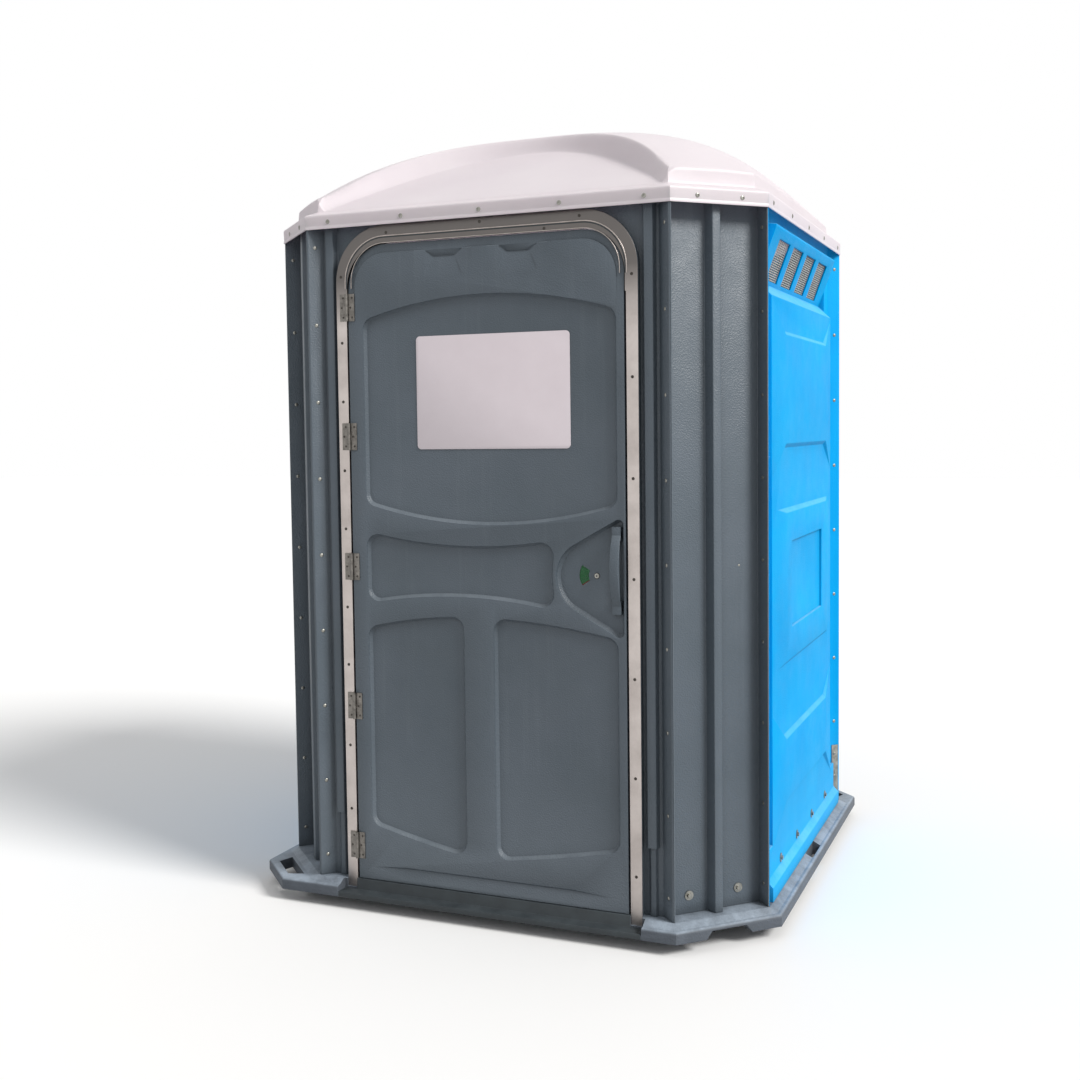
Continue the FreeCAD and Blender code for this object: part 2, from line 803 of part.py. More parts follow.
def make_wall(wall, tip):
    """The wall with its outer face square to +X, long along Y."""
    inner = wall - num("wall_depth")
    face = wall + num("block_reach")
    reach = num("flange_reach")
    flange = num("flange_width")
    low = num("base_height")
    top = num(WALL_TOP)
    root_y = tip - reach
    half = root_y - num("block_margin")
    plan = [(inner, root_y - num("wall_depth")), (wall, root_y), (wall + reach, tip),
            (wall + reach, tip - flange), (wall, root_y - flange)]
    plan = plan + [(x, -y) for x, y in reversed(plan)]
    sides = slab(plan, low, top)
    sides = sides.cut(block(inner - 1, wall + reach + 1, -half, half, low - 1, top + 1))
    (foot_x, foot_z), (head_x, head_z) = vent_line(wall)
    web = num("vent_web")
    vent_low = low + num("vent_bottom")
    bead = num("bead_height")
    bead_x = face + num("bead_reach")
    kick = low + num("kick_height")
    lower = [(inner, low), (bead_x, low), (bead_x, low + bead), (face, low + bead + 18)]
    section = lower + [
        (face, vent_low), (foot_x, foot_z), (head_x, head_z), (head_x, head_z + 6),
        (wall + 4, head_z + 10), (wall + 4, top), (wall - 4, top),
        (wall - 4, head_z + 2), (head_x - web, head_z - 2), (inner, foot_z - 4)]
    centre = prism([Vector(x, -half, z) for x, z in section], Vector(0, 2 * half, 0))
    foot = prism([Vector(x, -root_y, z) for x, z in lower + [(face, kick), (inner, kick)]],
                 Vector(0, 2 * root_y, 0))
    seam_y = root_y - num("wall_depth")
    for turn in (1, -1):
        foot = foot.cut(slab([(inner - 1, turn * (root_y + 1)), (inner - 1, turn * (seam_y - 1)),
                              (wall, turn * root_y), (wall, turn * (root_y + 1))],
                             low - 1, kick + 1))
    cheek = [(inner, foot_z - 4), (foot_x, foot_z), (head_x, head_z), (head_x, head_z + 6),
             (wall + 4, head_z + 10), (inner, head_z + 10)]
    cheeks = [prism([Vector(x, y, z) for x, z in cheek], Vector(0, web, 0))
              for y in (-half, half - web)]
    solid = sides.fuse([centre, foot] + cheeks)
    half_pad = num("pad_half_width")
    pads = []
    for name, spread, edge in (("low", "pad_flare", half_pad), ("top", "pad_flare", half_pad),
                               ("mid", "-pad_corner", half - num("pad_corner"))):
        start = low + num(f"{name}_pad_bottom")
        pads.append(bevelled_pad(face, half, half_pad, edge, start,
                                 start + num(f"{name}_pad_height"), num(spread)))
    solid = solid.fuse(pads)
    middle = low + num("mid_pad_bottom + mid_pad_height / 2")
    pocket = num("pocket_size")
    plate = face + num("pad_reach")
    solid = solid.cut(block(plate - num("pocket_depth"), plate + 5, -pocket, pocket,
                            middle - pocket / 2 - 6, middle + pocket / 2 + 12))
    count, slot, pitch = vent_slots(half)
    margin = num("vent_slot_margin")
    openings = []
    for i in range(count):
        y = (i - (count - 1) / 2) * pitch
        openings.append(block(inner - 5, head_x + 5, y - slot / 2, y + slot / 2,
                              foot_z + margin, head_z - margin * 2))
    return solid.cut(openings).removeSplitter()


def make_screen(wall, tip):
    """The vent's flat screen, held against the back of the leaning face."""
    (foot_x, foot_z), (head_x, head_z) = vent_line(wall)
    web = num("vent_web")
    start = Vector(wall - num("wall_depth"), 0, foot_z - 4)
    end = Vector(head_x - web, 0, head_z - 2)
    run = (end - start).normalize()
    inward = Vector(-run.z, 0, run.x) * num("screen_thickness")
    a = start + run * 3
    b = end - run * 3
    half = tip - num("flange_reach + block_margin + vent_end_web - vent_slot_margin")
    shift = Vector(0, -half, 0)
    return prism([p + shift for p in (a, b, b + inward, a + inward)], Vector(0, 2 * half, 0))


for label, wall, tip, angle in (("right", WALL_X, SIDE_TIP, 0), ("left", WALL_X, SIDE_TIP, 180),
                                ("rear", WALL_Y, FRONT_TIP, 90)):
    name = "rear_panel" if label == "rear" else f"side_panel_{label}"
    turned = FreeCAD.Placement(Vector(), FreeCAD.Rotation(AXIS_Z, angle))
    feature(name, make_wall(num(wall), num(tip)), turned)
    feature(f"vent_screen_{label}", make_screen(num(wall), num(tip)), turned)

# Roof: one thin moulding. A skirt laps the walls, a ledge and a step lead up
# to a pillowed dome, and a scoop is sunk in the front behind an arched band.

DOME_POWER_X = 3.06
DOME_POWER_Y = 2.76
DOME_POWER_CORNER = 13.8
DOME_SHOULDER = 0.872
DOME_LEVELS = (0.02, 0.12, 0.26, 0.42, 0.58, 0.72, 0.84, 0.92, 0.968, 0.992)
DOME_POINTS = 48


def dome_share(x, y, inset):
    """How far up the dome stands over a point, from 0 at its edge to 1."""
    a = num(HALF_W) - inset
    b = num(HALF_D) - inset
    c = (num(HALF_W) + num(HALF_D) - num("corner_cut")) / math.sqrt(2) - inset
    d = (abs(x) + abs(y)) / math.sqrt(2)
    shares = (1 - (abs(x) / a) ** DOME_POWER_X, 1 - (abs(y) / b) ** DOME_POWER_Y,
              1 - (d / c) ** DOME_POWER_CORNER)
    if min(shares) <= 0:
        return 0.0
    return (shares[0] * shares[1] * shares[2]) ** DOME_SHOULDER


def dome_contour(level, inset, z):
    """A closed level line of the dome, found by halving along each direction."""
    far = num(HALF_W) + num(HALF_D)
    points = []
    for i in range(DOME_POINTS):
        angle = 2 * math.pi * i / DOME_POINTS
        near_r, far_r = 0.0, far
        while far_r - near_r > 1e-4:
            middle = (near_r + far_r) / 2
            if dome_share(middle * math.cos(angle), middle * math.sin(angle), inset) > level:
                near_r = middle
            else:
                far_r = middle
        points.append(Vector(near_r * math.cos(angle), near_r * math.sin(angle), z))
    line = Part.BSplineCurve()
    line.interpolate(points, PeriodicFlag=True)
    return Part.Wire(line.toShape())


def make_dome(inset, foot, rise):
    wires = [dome_contour(DOME_LEVELS[0], inset, foot - 8)]
    wires += [dome_contour(level, inset, foot + rise * level) for level in DOME_LEVELS]
    crown = Part.Vertex(Vector(0, 0, foot + rise))
    return Part.makeLoft(wires + [crown], True, True)


def make_scoop(step_z, top_inset, skin):
    """The space over the front visor, back to the bowed band."""
    tip = num(FRONT_TIP) - top_inset * math.tan(math.radians(22.5)) + skin
    front_y = -(num(HALF_D) - top_inset) - 4
    depth = num("scoop_depth") + skin
    crown = front_y + depth
    ledge_z = step_z
    band_foot = (num(SKIRT_Z) + num("skirt_height + roof_ledge_rise + roof_step_height")
                 + num("dome_rise") * dome_share(0, crown, top_inset) - num("scoop_band"))
    lean = (band_foot - ledge_z) / depth
    drop = skin * math.sqrt(1 + lean ** 2)
    bow = Part.BezierCurve()
    bow.setPoles([Vector(-tip, front_y, 0), Vector(0, front_y + 2 * depth, 0),
                  Vector(tip, front_y, 0)])
    chord = Part.LineSegment(Vector(tip, front_y, 0), Vector(-tip, front_y, 0))
    plan = Part.Face(Part.Wire([bow.toShape(), chord.toShape()]))
    column = plan.extrude(Vector(0, 0, ledge_z + 3 * num("dome_rise")))
    back = front_y + 2.2 * depth
    side = -num(HALF_W)
    high = ledge_z + 3 * num("dome_rise")
    rise = [Vector(side, front_y - 10, ledge_z - drop - lean * 10),
            Vector(side, back, ledge_z - drop + lean * (back - front_y)),
            Vector(side, back, high), Vector(side, front_y - 10, high)]
    return column.common(prism(rise, Vector(-2 * side, 0, 0)))


def make_roof():
    skin = num("roof_skin")
    lip = num("skirt_lip")
    skirt_low = num(SKIRT_Z)
    skirt_top = skirt_low + num("skirt_height")
    step_low = skirt_top + num("roof_ledge_rise")
    step_top = step_low + num("roof_step_height")
    step_out = lip - num("roof_ledge_width")
    step_in = step_out - num("roof_step_draft")
    outer = octagon_prism(lip, skirt_low, skirt_top)
    outer = outer.fuse([octagon_loft(lip, skirt_top, step_out, step_low),
                        octagon_loft(step_out, step_low, step_in, step_top)])
    rise = num("dome_rise")
    outer = outer.fuse(make_dome(-step_in, step_top, rise))
    outer = outer.cut(make_scoop(step_low, -step_in, 0.0))
    inner = octagon_prism(step_in - skin, skirt_low - 1, step_top - skin)
    inner = inner.fuse(make_dome(skin - step_in, step_top - skin, rise))
    inner = inner.cut(make_scoop(step_low, -step_in, skin))
    skirt_space = octagon_prism(0.0, skirt_low - 1, skirt_top - skin)
    roof = outer.cut([skirt_space, inner])
    return roof.removeSplitter()


feature("roof", make_roof())

# Door frame: an aluminium section bent round the doorway, with a strip on the
# face, a leg through the wall and a stop behind the door.


def arch_ring(name, outer_half, outer_top, outer_corner, inner_half, inner_top, inner_corner,
              low, y_low, y_high):
    outside = arch_body(name + "_outside", outer_half, outer_top, low, y_low, y_high, outer_corner)
    inside = arch_body(name + "_inside", inner_half, inner_top, f"{low} - 1",
                       f"{y_low} - 1", f"{y_high} + 1", inner_corner)
    return cut(name, outside, inside)


DOORWAY_TOP = "(base_height + doorway_height)"
strip = arch_ring(
    "frame_strip_ring", "(doorway_half_width + frame_strip)", f"({DOORWAY_TOP} + frame_strip)",
    "(doorway_corner + frame_strip)", "doorway_half_width", DOORWAY_TOP, "doorway_corner",
    "(base_height)", FRAME_FACE, STRIP_BACK)
leg = arch_ring(
    "frame_leg_ring", f"({OPEN_HALF})", f"({OPEN_TOP})",
    "(doorway_corner + frame_strip_thickness)", "doorway_half_width", DOORWAY_TOP,
    "doorway_corner", "(base_height)", FRAME_FACE, f"({FRAME_FACE} + frame_leg + 3)")
stop = arch_ring(
    "frame_stop_ring", f"({OPEN_HALF})", f"({OPEN_TOP})",
    "(doorway_corner + frame_strip_thickness)", "(doorway_half_width - frame_stop)",
    f"({DOORWAY_TOP} - frame_stop)", "(doorway_corner - frame_stop)",
    "(base_height)", f"({FRAME_FACE} + frame_leg)", f"({FRAME_FACE} + frame_leg + 3)")
# a rain lip closes the gap over the door and thins out down the corners
lip = arch_ring(
    "frame_lip_ring", f"({OPEN_HALF})", f"({OPEN_TOP})",
    "(doorway_corner + frame_strip_thickness)", "(doorway_half_width - frame_strip_thickness)",
    f"({DOORWAY_TOP} - frame_lip)", "doorway_corner",
    f"({DOORWAY_TOP} - doorway_corner - 2 * frame_strip)", FRAME_FACE, STRIP_BACK)
feet = [box(f"frame_foot_{name}", (f"{low}", f"{high}"), (FRAME_FACE, STRIP_BACK),
            ("base_height - frame_foot", "base_height + 1"))
        for name, low, high in (
            ("left", "-doorway_half_width - frame_strip", "-doorway_half_width"),
            ("right", "doorway_half_width", "doorway_half_width + frame_strip"))]
node(fuse("door_frame_section", strip, leg, stop, lip, *feet), "door_frame")

sill_top = box("sill_top", ("-doorway_half_width + 0", "doorway_half_width + 0"),
               (f"{FRAME_FACE} - 3", f"{FRAME_FACE} + frame_leg"),
               ("base_height", "base_height + sill_thickness"))
sill_back = box("sill_back", ("-doorway_half_width + frame_stop", "doorway_half_width - frame_stop"),
                (f"{FRAME_FACE} + frame_leg - 1", f"-{INNER_Y} - 2"),
                ("base_height", "base_height + sill_thickness"))
sill_nose = box("sill_nose", ("-doorway_half_width + 0", "doorway_half_width + 0"),
                (f"{FRAME_FACE} - 3 - sill_thickness", f"{FRAME_FACE} - 3"),
                ("base_height - tread_drop + sill_thickness", "base_height + sill_thickness"))
sill_tread = box("sill_tread", ("-doorway_half_width - frame_strip - 8",
                                "doorway_half_width + frame_strip + 8"),
                 (f"-{HALF_D} - ledge_reach", f"{FRAME_FACE} - 3"),
                 ("base_height - tread_drop", "base_height - tread_drop + sill_thickness"))
sill_lip = box("sill_lip", ("-doorway_half_width - frame_strip - 8",
                            "doorway_half_width + frame_strip + 8"),
               (f"-{HALF_D} - ledge_reach", f"-{HALF_D} - ledge_reach + sill_thickness"),
               ("base_height - deck_thickness", "base_height - tread_drop + sill_thickness"))
node(fuse("door_sill_section", sill_top, sill_back, sill_nose, sill_tread, sill_lip), "door_sill")

# Door: outer and inner shells, seamed together down the edge.


def bowed_outline(corners, y):
    """An outline in the XZ plane. Each corner gives the sag of the side that follows it."""
    edges = []
    for (x0, z0, sag), (x1, z1, _) in zip(corners, corners[1:] + corners[:1]):
        start = Vector(x0, y, z0)
        end = Vector(x1, y, z1)
        if abs(sag) < 1e-6:
            edges.append(Part.LineSegment(start, end).toShape())
            continue
        run = end - start
        out = Vector(run.z, 0, -run.x).normalize()
        edges.append(Part.Arc(start, (start + end) * 0.5 + out * sag, end).toShape())
    return Part.Wire(edges)


def recess_tool(corners, face, depth, radii):
    """A moulded recess with rounded corners on plan and walls that slope in."""
    plug = Part.Face(bowed_outline(corners, face - 1)).extrude(Vector(0, depth + 1, 0))
    for (x, z, _), radius in zip(corners, radii):
        upright = [e for e in plug.Edges if runs_along(AXIS_Y)(e)
                   and Vector(e.CenterOfMass.x - x, 0, e.CenterOfMass.z - z).Length < 1e-3]
        plug = plug.makeFillet(radius, upright)
    back = face + depth
    floor = [e for e in plug.Edges
             if abs(e.BoundBox.YMin - back) < 1e-4 and abs(e.BoundBox.YMax - back) < 1e-4]
    return plug.makeChamfer(num("recess_draft"), floor)


def door_recesses():
    """Corner lists of the five moulded recesses, clockwise seen from the front."""
    left = -num(f"{DOOR_HALF} - hinge_side_margin")
    right = num(f"{DOOR_HALF} - lock_side_margin")
    low = num("base_height")
    post_left = num("post_centre - post_width / 2")
    post_right = num("post_centre + post_width / 2")
    upper_low = low + num("upper_recess_bottom")
    upper_high = low + num("upper_recess_top")
    arch = num("upper_recess_arch")
    bow = num("upper_recess_bow")
    mid_low = low + num("middle_recess_bottom")
    mid_high = low + num("middle_recess_top")
    mid_right = num(f"{DOOR_HALF} - middle_recess_inset")
    mid_bow = num("middle_recess_bow")
    waist = num("middle_recess_waist")
    lower_low = low + num("lower_recess_bottom")
    lower_high = low + num("lower_recess_top")
    drop = num("lower_recess_drop")
    lift = num("lower_recess_rise")
    return {
        "upper": [(left, upper_low, 0), (left, upper_high, -arch),
                  (right, upper_high, 0), (right, upper_low, -bow)],
        "middle": [(left, mid_low, 0), (left, mid_high, mid_bow),
                   (mid_right, mid_high - waist, waist), (mid_right, mid_low, mid_bow)],
        "lower_left": [(left, lower_low + lift, 0), (left, lower_high - drop, -8),
                       (post_left, lower_high, 0), (post_left, lower_low, -4)],
        "lower_right": [(post_right, lower_low, 0), (post_right, lower_high, -8),
                        (right, lower_high - drop, 0), (right, lower_low + lift, -4)],
    }


def lock_recess(face, depth):
    """The bowl behind the pull and the lock: its sides meet in a broad curve."""
    apex = num(f"{DOOR_HALF} - lock_recess_reach")
    right = num(f"{DOOR_HALF} - lock_recess_edge")
    middle = num("base_height + lock_recess_centre")
    half = num("lock_recess_height") / 2
    corners = [(apex, middle, 0), (right, middle + half, 0), (right, middle - half, 0)]
    return recess_tool(corners, face, depth, (num("lock_recess_bow"), 14, 14))


def window_sector(y_low, y_high, grow=0.0):
    """The occupancy window, a ring sector on the hinge side of the spindle."""
    centre = Vector(num(LOCK_X), y_low, num(LOCK_Z))
    inner = num("window_inner") - grow
    outer = num("window_outer") + grow
    half = math.radians(num("window_half_angle")) + grow / outer
    rim = []
    for radius, turn in ((inner, -1), (outer, 1)):
        spots = [centre + Vector(-math.cos(a), 0, math.sin(a)) * radius
                 for a in (-half * turn, 0, half * turn)]
        rim.append((spots, Part.Arc(*spots).toShape()))
    sides = [Part.LineSegment(rim[0][0][2], rim[1][0][0]).toShape(),
             Part.LineSegment(rim[1][0][2], rim[0][0][0]).toShape()]
    wire = Part.Wire(Part.__sortEdges__([rim[0][1], sides[0], rim[1][1], sides[1]]))
    return Part.Face(wire).extrude(Vector(0, y_high - y_low, 0))


def top_band(face):
    """The set-back band along the door's head, with two notches and their ramps."""
    half = num(DOOR_HALF)
    high = num(DOOR_TOP)
    depth = num("top_band_depth")
    edge = high - num("top_band_width")
    fade = num("top_band_fade")
    side = half - num("top_band_side")
    field = block(-side, side, face - 2, face + depth + 1, edge - fade - 40, edge)
    corners = [e for e in field.Edges
               if runs_along(AXIS_Y)(e) and abs(e.BoundBox.ZMin - edge) < 1e-4]
    field = field.makeFillet(num("doorway_corner") - 26, corners)
    wedge = prism([Vector(-half - 1, y, z) for y, z in (
        (face - 1, edge - fade), (face, edge - fade), (face + depth, edge - fade / 4),
        (face + depth, high + 1), (face - 1, high + 1))], Vector(2 * half + 2, 0, 0))
    band = wedge.cut(field)
    notch = num("top_band_notch")
    ramps = []
    for middle in (-num("top_notch_spread"), num("top_notch_spread")):
        ramps.append(prism([Vector(middle + x, face - 1, z) for x, z in (
            (-33, edge - notch), (33, edge - notch), (60, edge + 1), (-60, edge + 1))],
            Vector(0, depth + 1, 0)))
        low, top = edge - notch - num("top_notch_ramp"), edge - notch + 1
        near = [Vector(middle + x, face - 1, z)
                for x, z in ((-62, low), (62, low), (44, top), (-44, top))]
        far = [Vector(middle + x, face + depth, top) for x in (-33, 33)]
        loops = [near, [near[0], near[1], far[1], far[0]], [near[1], near[2], far[1]],
                 [near[3], near[0], far[0]], [near[2], near[3], far[0], far[1]]]
        faces = [Part.Face(Part.makePolygon(loop + loop[:1])) for loop in loops]
        ramp = Part.makeSolid(Part.makeShell(faces))
        ramps.append(ramp if ramp.Volume > 0 else ramp.reversed())
    return [band] + ramps


def bottom_fold(face):
    """A shallow crease over the door's foot that fades out downwards and at both ends."""
    low = num(DOOR_LOW) + 3
    crease = num(f"{DOOR_LOW} + fold_height")
    sink = face + num("fold_depth")
    half = num(DOOR_HALF)
    inset = half * 0.62
    front = face - 1
    tips = [Vector(x, front, crease - 10) for x in (-half + 36, half - 30)]
    rows = [[Vector(x, front, crease), Vector(x, sink, crease - 6), Vector(x, front, low)]
            for x in (-inset, inset)]
    loops = [[rows[0][i], rows[1][i], rows[1][j], rows[0][j]] for i, j in ((0, 1), (1, 2), (2, 0))]
    for tip, row in zip(tips, rows):
        loops += [[tip, row[i], row[j]] for i, j in ((0, 1), (1, 2), (2, 0))]
    faces = [Part.Face(Part.makePolygon(loop + loop[:1])) for loop in loops]
    fold = Part.makeSolid(Part.makeShell(faces))
    return fold if fold.Volume > 0 else fold.reversed()


def make_outer_shell(plate):
    face = num(FRAME_FACE)
    shell = plate.Shape
    corner = num("recess_corner")
    tools = [recess_tool(corners, face, num("recess_depth"), (corner,) * 4)
             for corners in door_recesses().values()]
    tools.append(lock_recess(face, num("lock_recess_depth")))
    tools += top_band(face)
    tools.append(bottom_fold(face))
    seam = num(DOOR_SEAM)
    cavity = num("disc_thickness + 2 * disc_play")
    spot = Vector(num(LOCK_X), seam - cavity, num(LOCK_Z))
    tools.append(Part.makeCylinder(num("disc_radius + 2"), cavity + 1, spot, AXIS_Y))
    bore = num("spindle_radius + spindle_play")
    tools.append(Part.makeCylinder(bore, 60, spot - AXIS_Y * 40, AXIS_Y))
    tools.append(window_sector(face, seam))
    return shell.cut(tools).removeSplitter()


outer_plate = arch_body("door_outer_plate", DOOR_HALF, DOOR_TOP, DOOR_LOW,
                        FRAME_FACE, DOOR_SEAM, "(doorway_corner - door_gap)")
feature("door_outer_shell", make_outer_shell(outer_plate))


def make_inner_shell(plate):
    """The inner skin, with a boss for the lock spindle and four shallow panels."""
    seam = num(DOOR_SEAM)
    back = num(DOOR_BACK)
    boss_end = num(f"{BOLT_Y} - bolt_arm_play")
    spot = Vector(num(LOCK_X), seam, num(LOCK_Z))
    boss = Part.makeCylinder(24, boss_end - seam, spot, AXIS_Y)
    panels = []
    margin = num("inner_panel_margin")
    half = num(DOOR_HALF)
    for name in ("low", "high"):
        start = num(f"base_height + inner_{name}_bottom")
        tool = block(-half + margin, half - margin, back - num("inner_panel_depth"), back + 1,
                     start, start + num(f"inner_{name}_height"))
        upright = [e for e in tool.Edges if runs_along(AXIS_Y)(e)]
        panels.append(tool.makeFillet(num("inner_panel_corner"), upright))
    bore = Part.makeCylinder(num("spindle_radius + spindle_play"), boss_end - seam + 10,
                             spot - AXIS_Y * 5, AXIS_Y)
    return plate.Shape.cut(panels).fuse(boss).cut(bore).removeSplitter()


BOLT_Y = f"(-{INNER_Y} + keeper_thickness + bolt_arm_play)"
inner_plate = arch_body("door_inner_plate", DOOR_HALF, DOOR_TOP, DOOR_LOW,
                        DOOR_SEAM, DOOR_BACK, "(doorway_corner - door_gap)")
feature("door_inner_shell", make_inner_shell(inner_plate))

sign = new_body("sign_plate_body")
pad(sign, "sign_plate_sheet", "XZ", f"{RECESS_FLOOR} - plate_thickness", RECESS_FLOOR, [
    (f"plate_offset {sx} plate_width / 2", f"base_height + plate_centre_height {sz} plate_height / 2")
    for sx, sz in (("-", "-"), ("+", "-"), ("+", "+"), ("-", "+"))])
round_edges(sign, "sign_plate_corners", runs_along(AXIS_Y), "plate_corner")
node(sign, "sign_plate")


def make_pull(x, z, height, width, thickness, seat_y, clearance, side):
    """A bowed bar on two feet. Side -1 stands it out to the front, 1 to the back."""
    half = height / 2
    foot = 26
    crest = clearance + thickness
    profile = [
        Vector(0, 0, -half), Vector(0, 0, -half + foot),
        Vector(0, side * clearance * 0.75, -half + foot + 14),
        Vector(0, side * clearance, 0),
        Vector(0, side * clearance * 0.75, half - foot - 14),
        Vector(0, 0, half - foot), Vector(0, 0, half)]
    inner = [Part.LineSegment(profile[0], profile[1]).toShape(),
             Part.LineSegment(profile[1], profile[2]).toShape(),
             Part.Arc(profile[2], profile[3], profile[4]).toShape(),
             Part.LineSegment(profile[4], profile[5]).toShape(),
             Part.LineSegment(profile[5], profile[6]).toShape()]
    outer = Part.Arc(profile[6], Vector(0, side * crest, 0), profile[0]).toShape()
    bar = Part.Face(Part.Wire(inner + [outer])).extrude(Vector(width, 0, 0))
    bar.translate(Vector(x - width / 2, seat_y, z))
    return bar


feature("door_pull", make_pull(num(f"{DOOR_HALF} - lock_recess_edge - recess_draft - pull_width / 2 - 0.5"),
                               num("base_height + pull_centre"), num("pull_height"),
                               num("pull_width"), num("pull_thickness"), num(LOCK_FLOOR),
                               num("pull_clearance"), -1))
feature("inner_pull", make_pull(num(f"{LOCK_X} - 95"), num(f"{LOCK_Z} + 30"),
                                num("inner_pull_height"), num("pull_width"),
                                num("pull_thickness"), num(DOOR_BACK),
                                num("pull_clearance"), 1))

# Lock: a spindle through the door carries the bolt arm and thumb turn inside
# and the two-colour occupancy disc behind the window.

DISC_Y = f"({DOOR_SEAM} - disc_play - disc_thickness)"
shaft = cylinder("spindle_shaft", "y", "spindle_radius",
                 f"{BOLT_Y} - {LOCK_FLOOR}", LOCK_X, LOCK_FLOOR, LOCK_Z)
head = cylinder("spindle_head", "y", "screw_head_radius", "2.4", LOCK_X,
                f"{LOCK_FLOOR} - 2.4", LOCK_Z)
node(fuse("lock_spindle_turned", shaft, head), "lock_spindle")

disc = cylinder("disc_blank", "y", "disc_radius", "disc_thickness", LOCK_X, DISC_Y, LOCK_Z)
disc_bore = cylinder("disc_bore", "y", "spindle_radius", "disc_thickness + 2", LOCK_X,
                     f"{DISC_Y} - 1", LOCK_Z)
node(cut("occupancy_disc_cut", disc, disc_bore), "occupancy_disc")

arm_hub = cylinder("bolt_hub", "y", "bolt_arm_width / 2 + 3", "bolt_arm_thickness",
                   LOCK_X, BOLT_Y, LOCK_Z)
arm_bar = box("bolt_bar", (f"{LOCK_X} - bolt_arm_width / 2", f"{LOCK_X} + bolt_arm_width / 2"),
              (BOLT_Y, f"{BOLT_Y} + bolt_arm_thickness"), (LOCK_Z, f"{LOCK_Z} + bolt_arm_length"))
thumb = box("thumb_bar", (f"{LOCK_X} - thumb_width / 2", f"{LOCK_X} + thumb_width / 2"),
            (f"{BOLT_Y} + bolt_arm_thickness - 1", f"{BOLT_Y} + bolt_arm_thickness + thumb_depth"),
            (f"{LOCK_Z} - thumb_length / 2", f"{LOCK_Z} + thumb_length / 2"))
node(fuse("bolt_arm_whole", arm_hub, arm_bar, thumb), "bolt_arm")

feature("lock_window", window_sector(num(f"{LOCK_FLOOR} + 0.4"),
                                     num(f"{DOOR_SEAM} - disc_thickness - 2 * disc_play")))

keeper_x = "(doorway_half_width + frame_strip_thickness + 3)"
node(box("latch_keeper_plate", (keeper_x, f"{keeper_x} + 40"),
         (f"-{INNER_Y}", f"-{INNER_Y} + keeper_thickness"),
         (f"{LOCK_Z} - 45", f"{LOCK_Z} + 45")), "latch_keeper")

# Hinges: five butt hinges of three knuckles each. The frame leaf has the outer
# knuckles, the door leaf the middle one.

HINGES = [num(f"base_height + hinge_height_{letter}") for letter in "abcde"]


def knuckle(z_low, z_high):
    spot = Vector(num(HINGE_X), num(HINGE_Y), z_low)
    barrel = Part.makeCylinder(num("knuckle_radius"), z_high - z_low, spot)
    bore = Part.makeCylinder(num("pin_radius + knuckle_play"), z_high - z_low, spot)
    return barrel.cut(bore)


def hinge_leaf(middle, side):
    length = num("hinge_length")
    third = length / 3
    play = num("hinge_play") / 2
    face = num(FRAME_FACE)
    thick = num("hinge_leaf_thickness")
    x = num(HINGE_X)
    reach = num("knuckle_radius + hinge_leaf")
    clear = num("knuckle_radius + knuckle_play")
    bore = Part.makeCylinder(num("pin_radius + knuckle_play"), length + 2,
                             Vector(x, num(HINGE_Y), middle - length / 2 - 1))
    if side < 0:
        spans = [(middle - length / 2, middle - third / 2 - play),
                 (middle + third / 2 + play, middle + length / 2)]
        plate = block(x - reach, x - clear, face - thick, face,
                      middle - length / 2, middle + length / 2)
        tabs = [block(x - clear - 0.5, x, face - thick, face, low, high) for low, high in spans]
    else:
        spans = [(middle - third / 2 + play, middle + third / 2 - play)]
        plate = block(x + clear, x + reach, face - thick, face,
                      middle - length / 2, middle + length / 2)
        tabs = [block(x, x + clear + 0.5, face - thick, face, low, high) for low, high in spans]
    return plate.fuse(tabs + [knuckle(low, high) for low, high in spans]).cut(bore).removeSplitter()


feature("hinge_frame_leaves", Part.makeCompound([hinge_leaf(z, -1) for z in HINGES]))
feature("hinge_door_leaves", Part.makeCompound([hinge_leaf(z, 1) for z in HINGES]))
feature("hinge_pins", Part.makeCompound([
    Part.makeCylinder(num("pin_radius"), num("hinge_length"),
                      Vector(num(HINGE_X), num(HINGE_Y), z - num("hinge_length") / 2))
    for z in HINGES]))

# Bolts with wide washers hold the walls to the curb.


def bolt(spot, out):
    washer = Part.makeCylinder(num("washer_radius"), num("washer_thickness"), spot, out)
    top = spot + out * num("washer_thickness")
    return washer.fuse(Part.makeCylinder(num("bolt_head_radius"), num("bolt_head_height"), top, out))


def corner_bolts():
    found = []
    z = num("base_height + corner_bolt_height")
    for sx, sy in ((1, -1), (-1, -1), (-1, 1), (1, 1)):
        out = Vector(sx, sy, 0).normalize()
        along = Vector(-sy, sx, 0).normalize()
        middle = Vector(sx * num(f"{HALF_W} - corner_cut / 2 - flange_reach"),
                        sy * num(f"{HALF_D} - corner_cut / 2 - flange_reach"), z)
        for place in (-1, 1):
            found.append(bolt(middle + along * place * num("corner_bolt_spread"), out))
    return Part.makeCompound(found)


def side_bolts():
    found = []
    z = num("base_height + side_bolt_height")
    for side in (-1, 1):
        x = side * num(f"{WALL_X} + block_reach")
        for place in (-1.5, -0.5, 0.5, 1.5):
            spot = Vector(x, place * num("side_bolt_pitch"), z)
            found.append(bolt(spot, Vector(side, 0, 0)))
    return Part.makeCompound(found)


feature("corner_bolts", corner_bolts())
feature("side_bolts", side_bolts())

# Waste tank with its deck, drop hole, seat, and a lid hinged behind the seat.

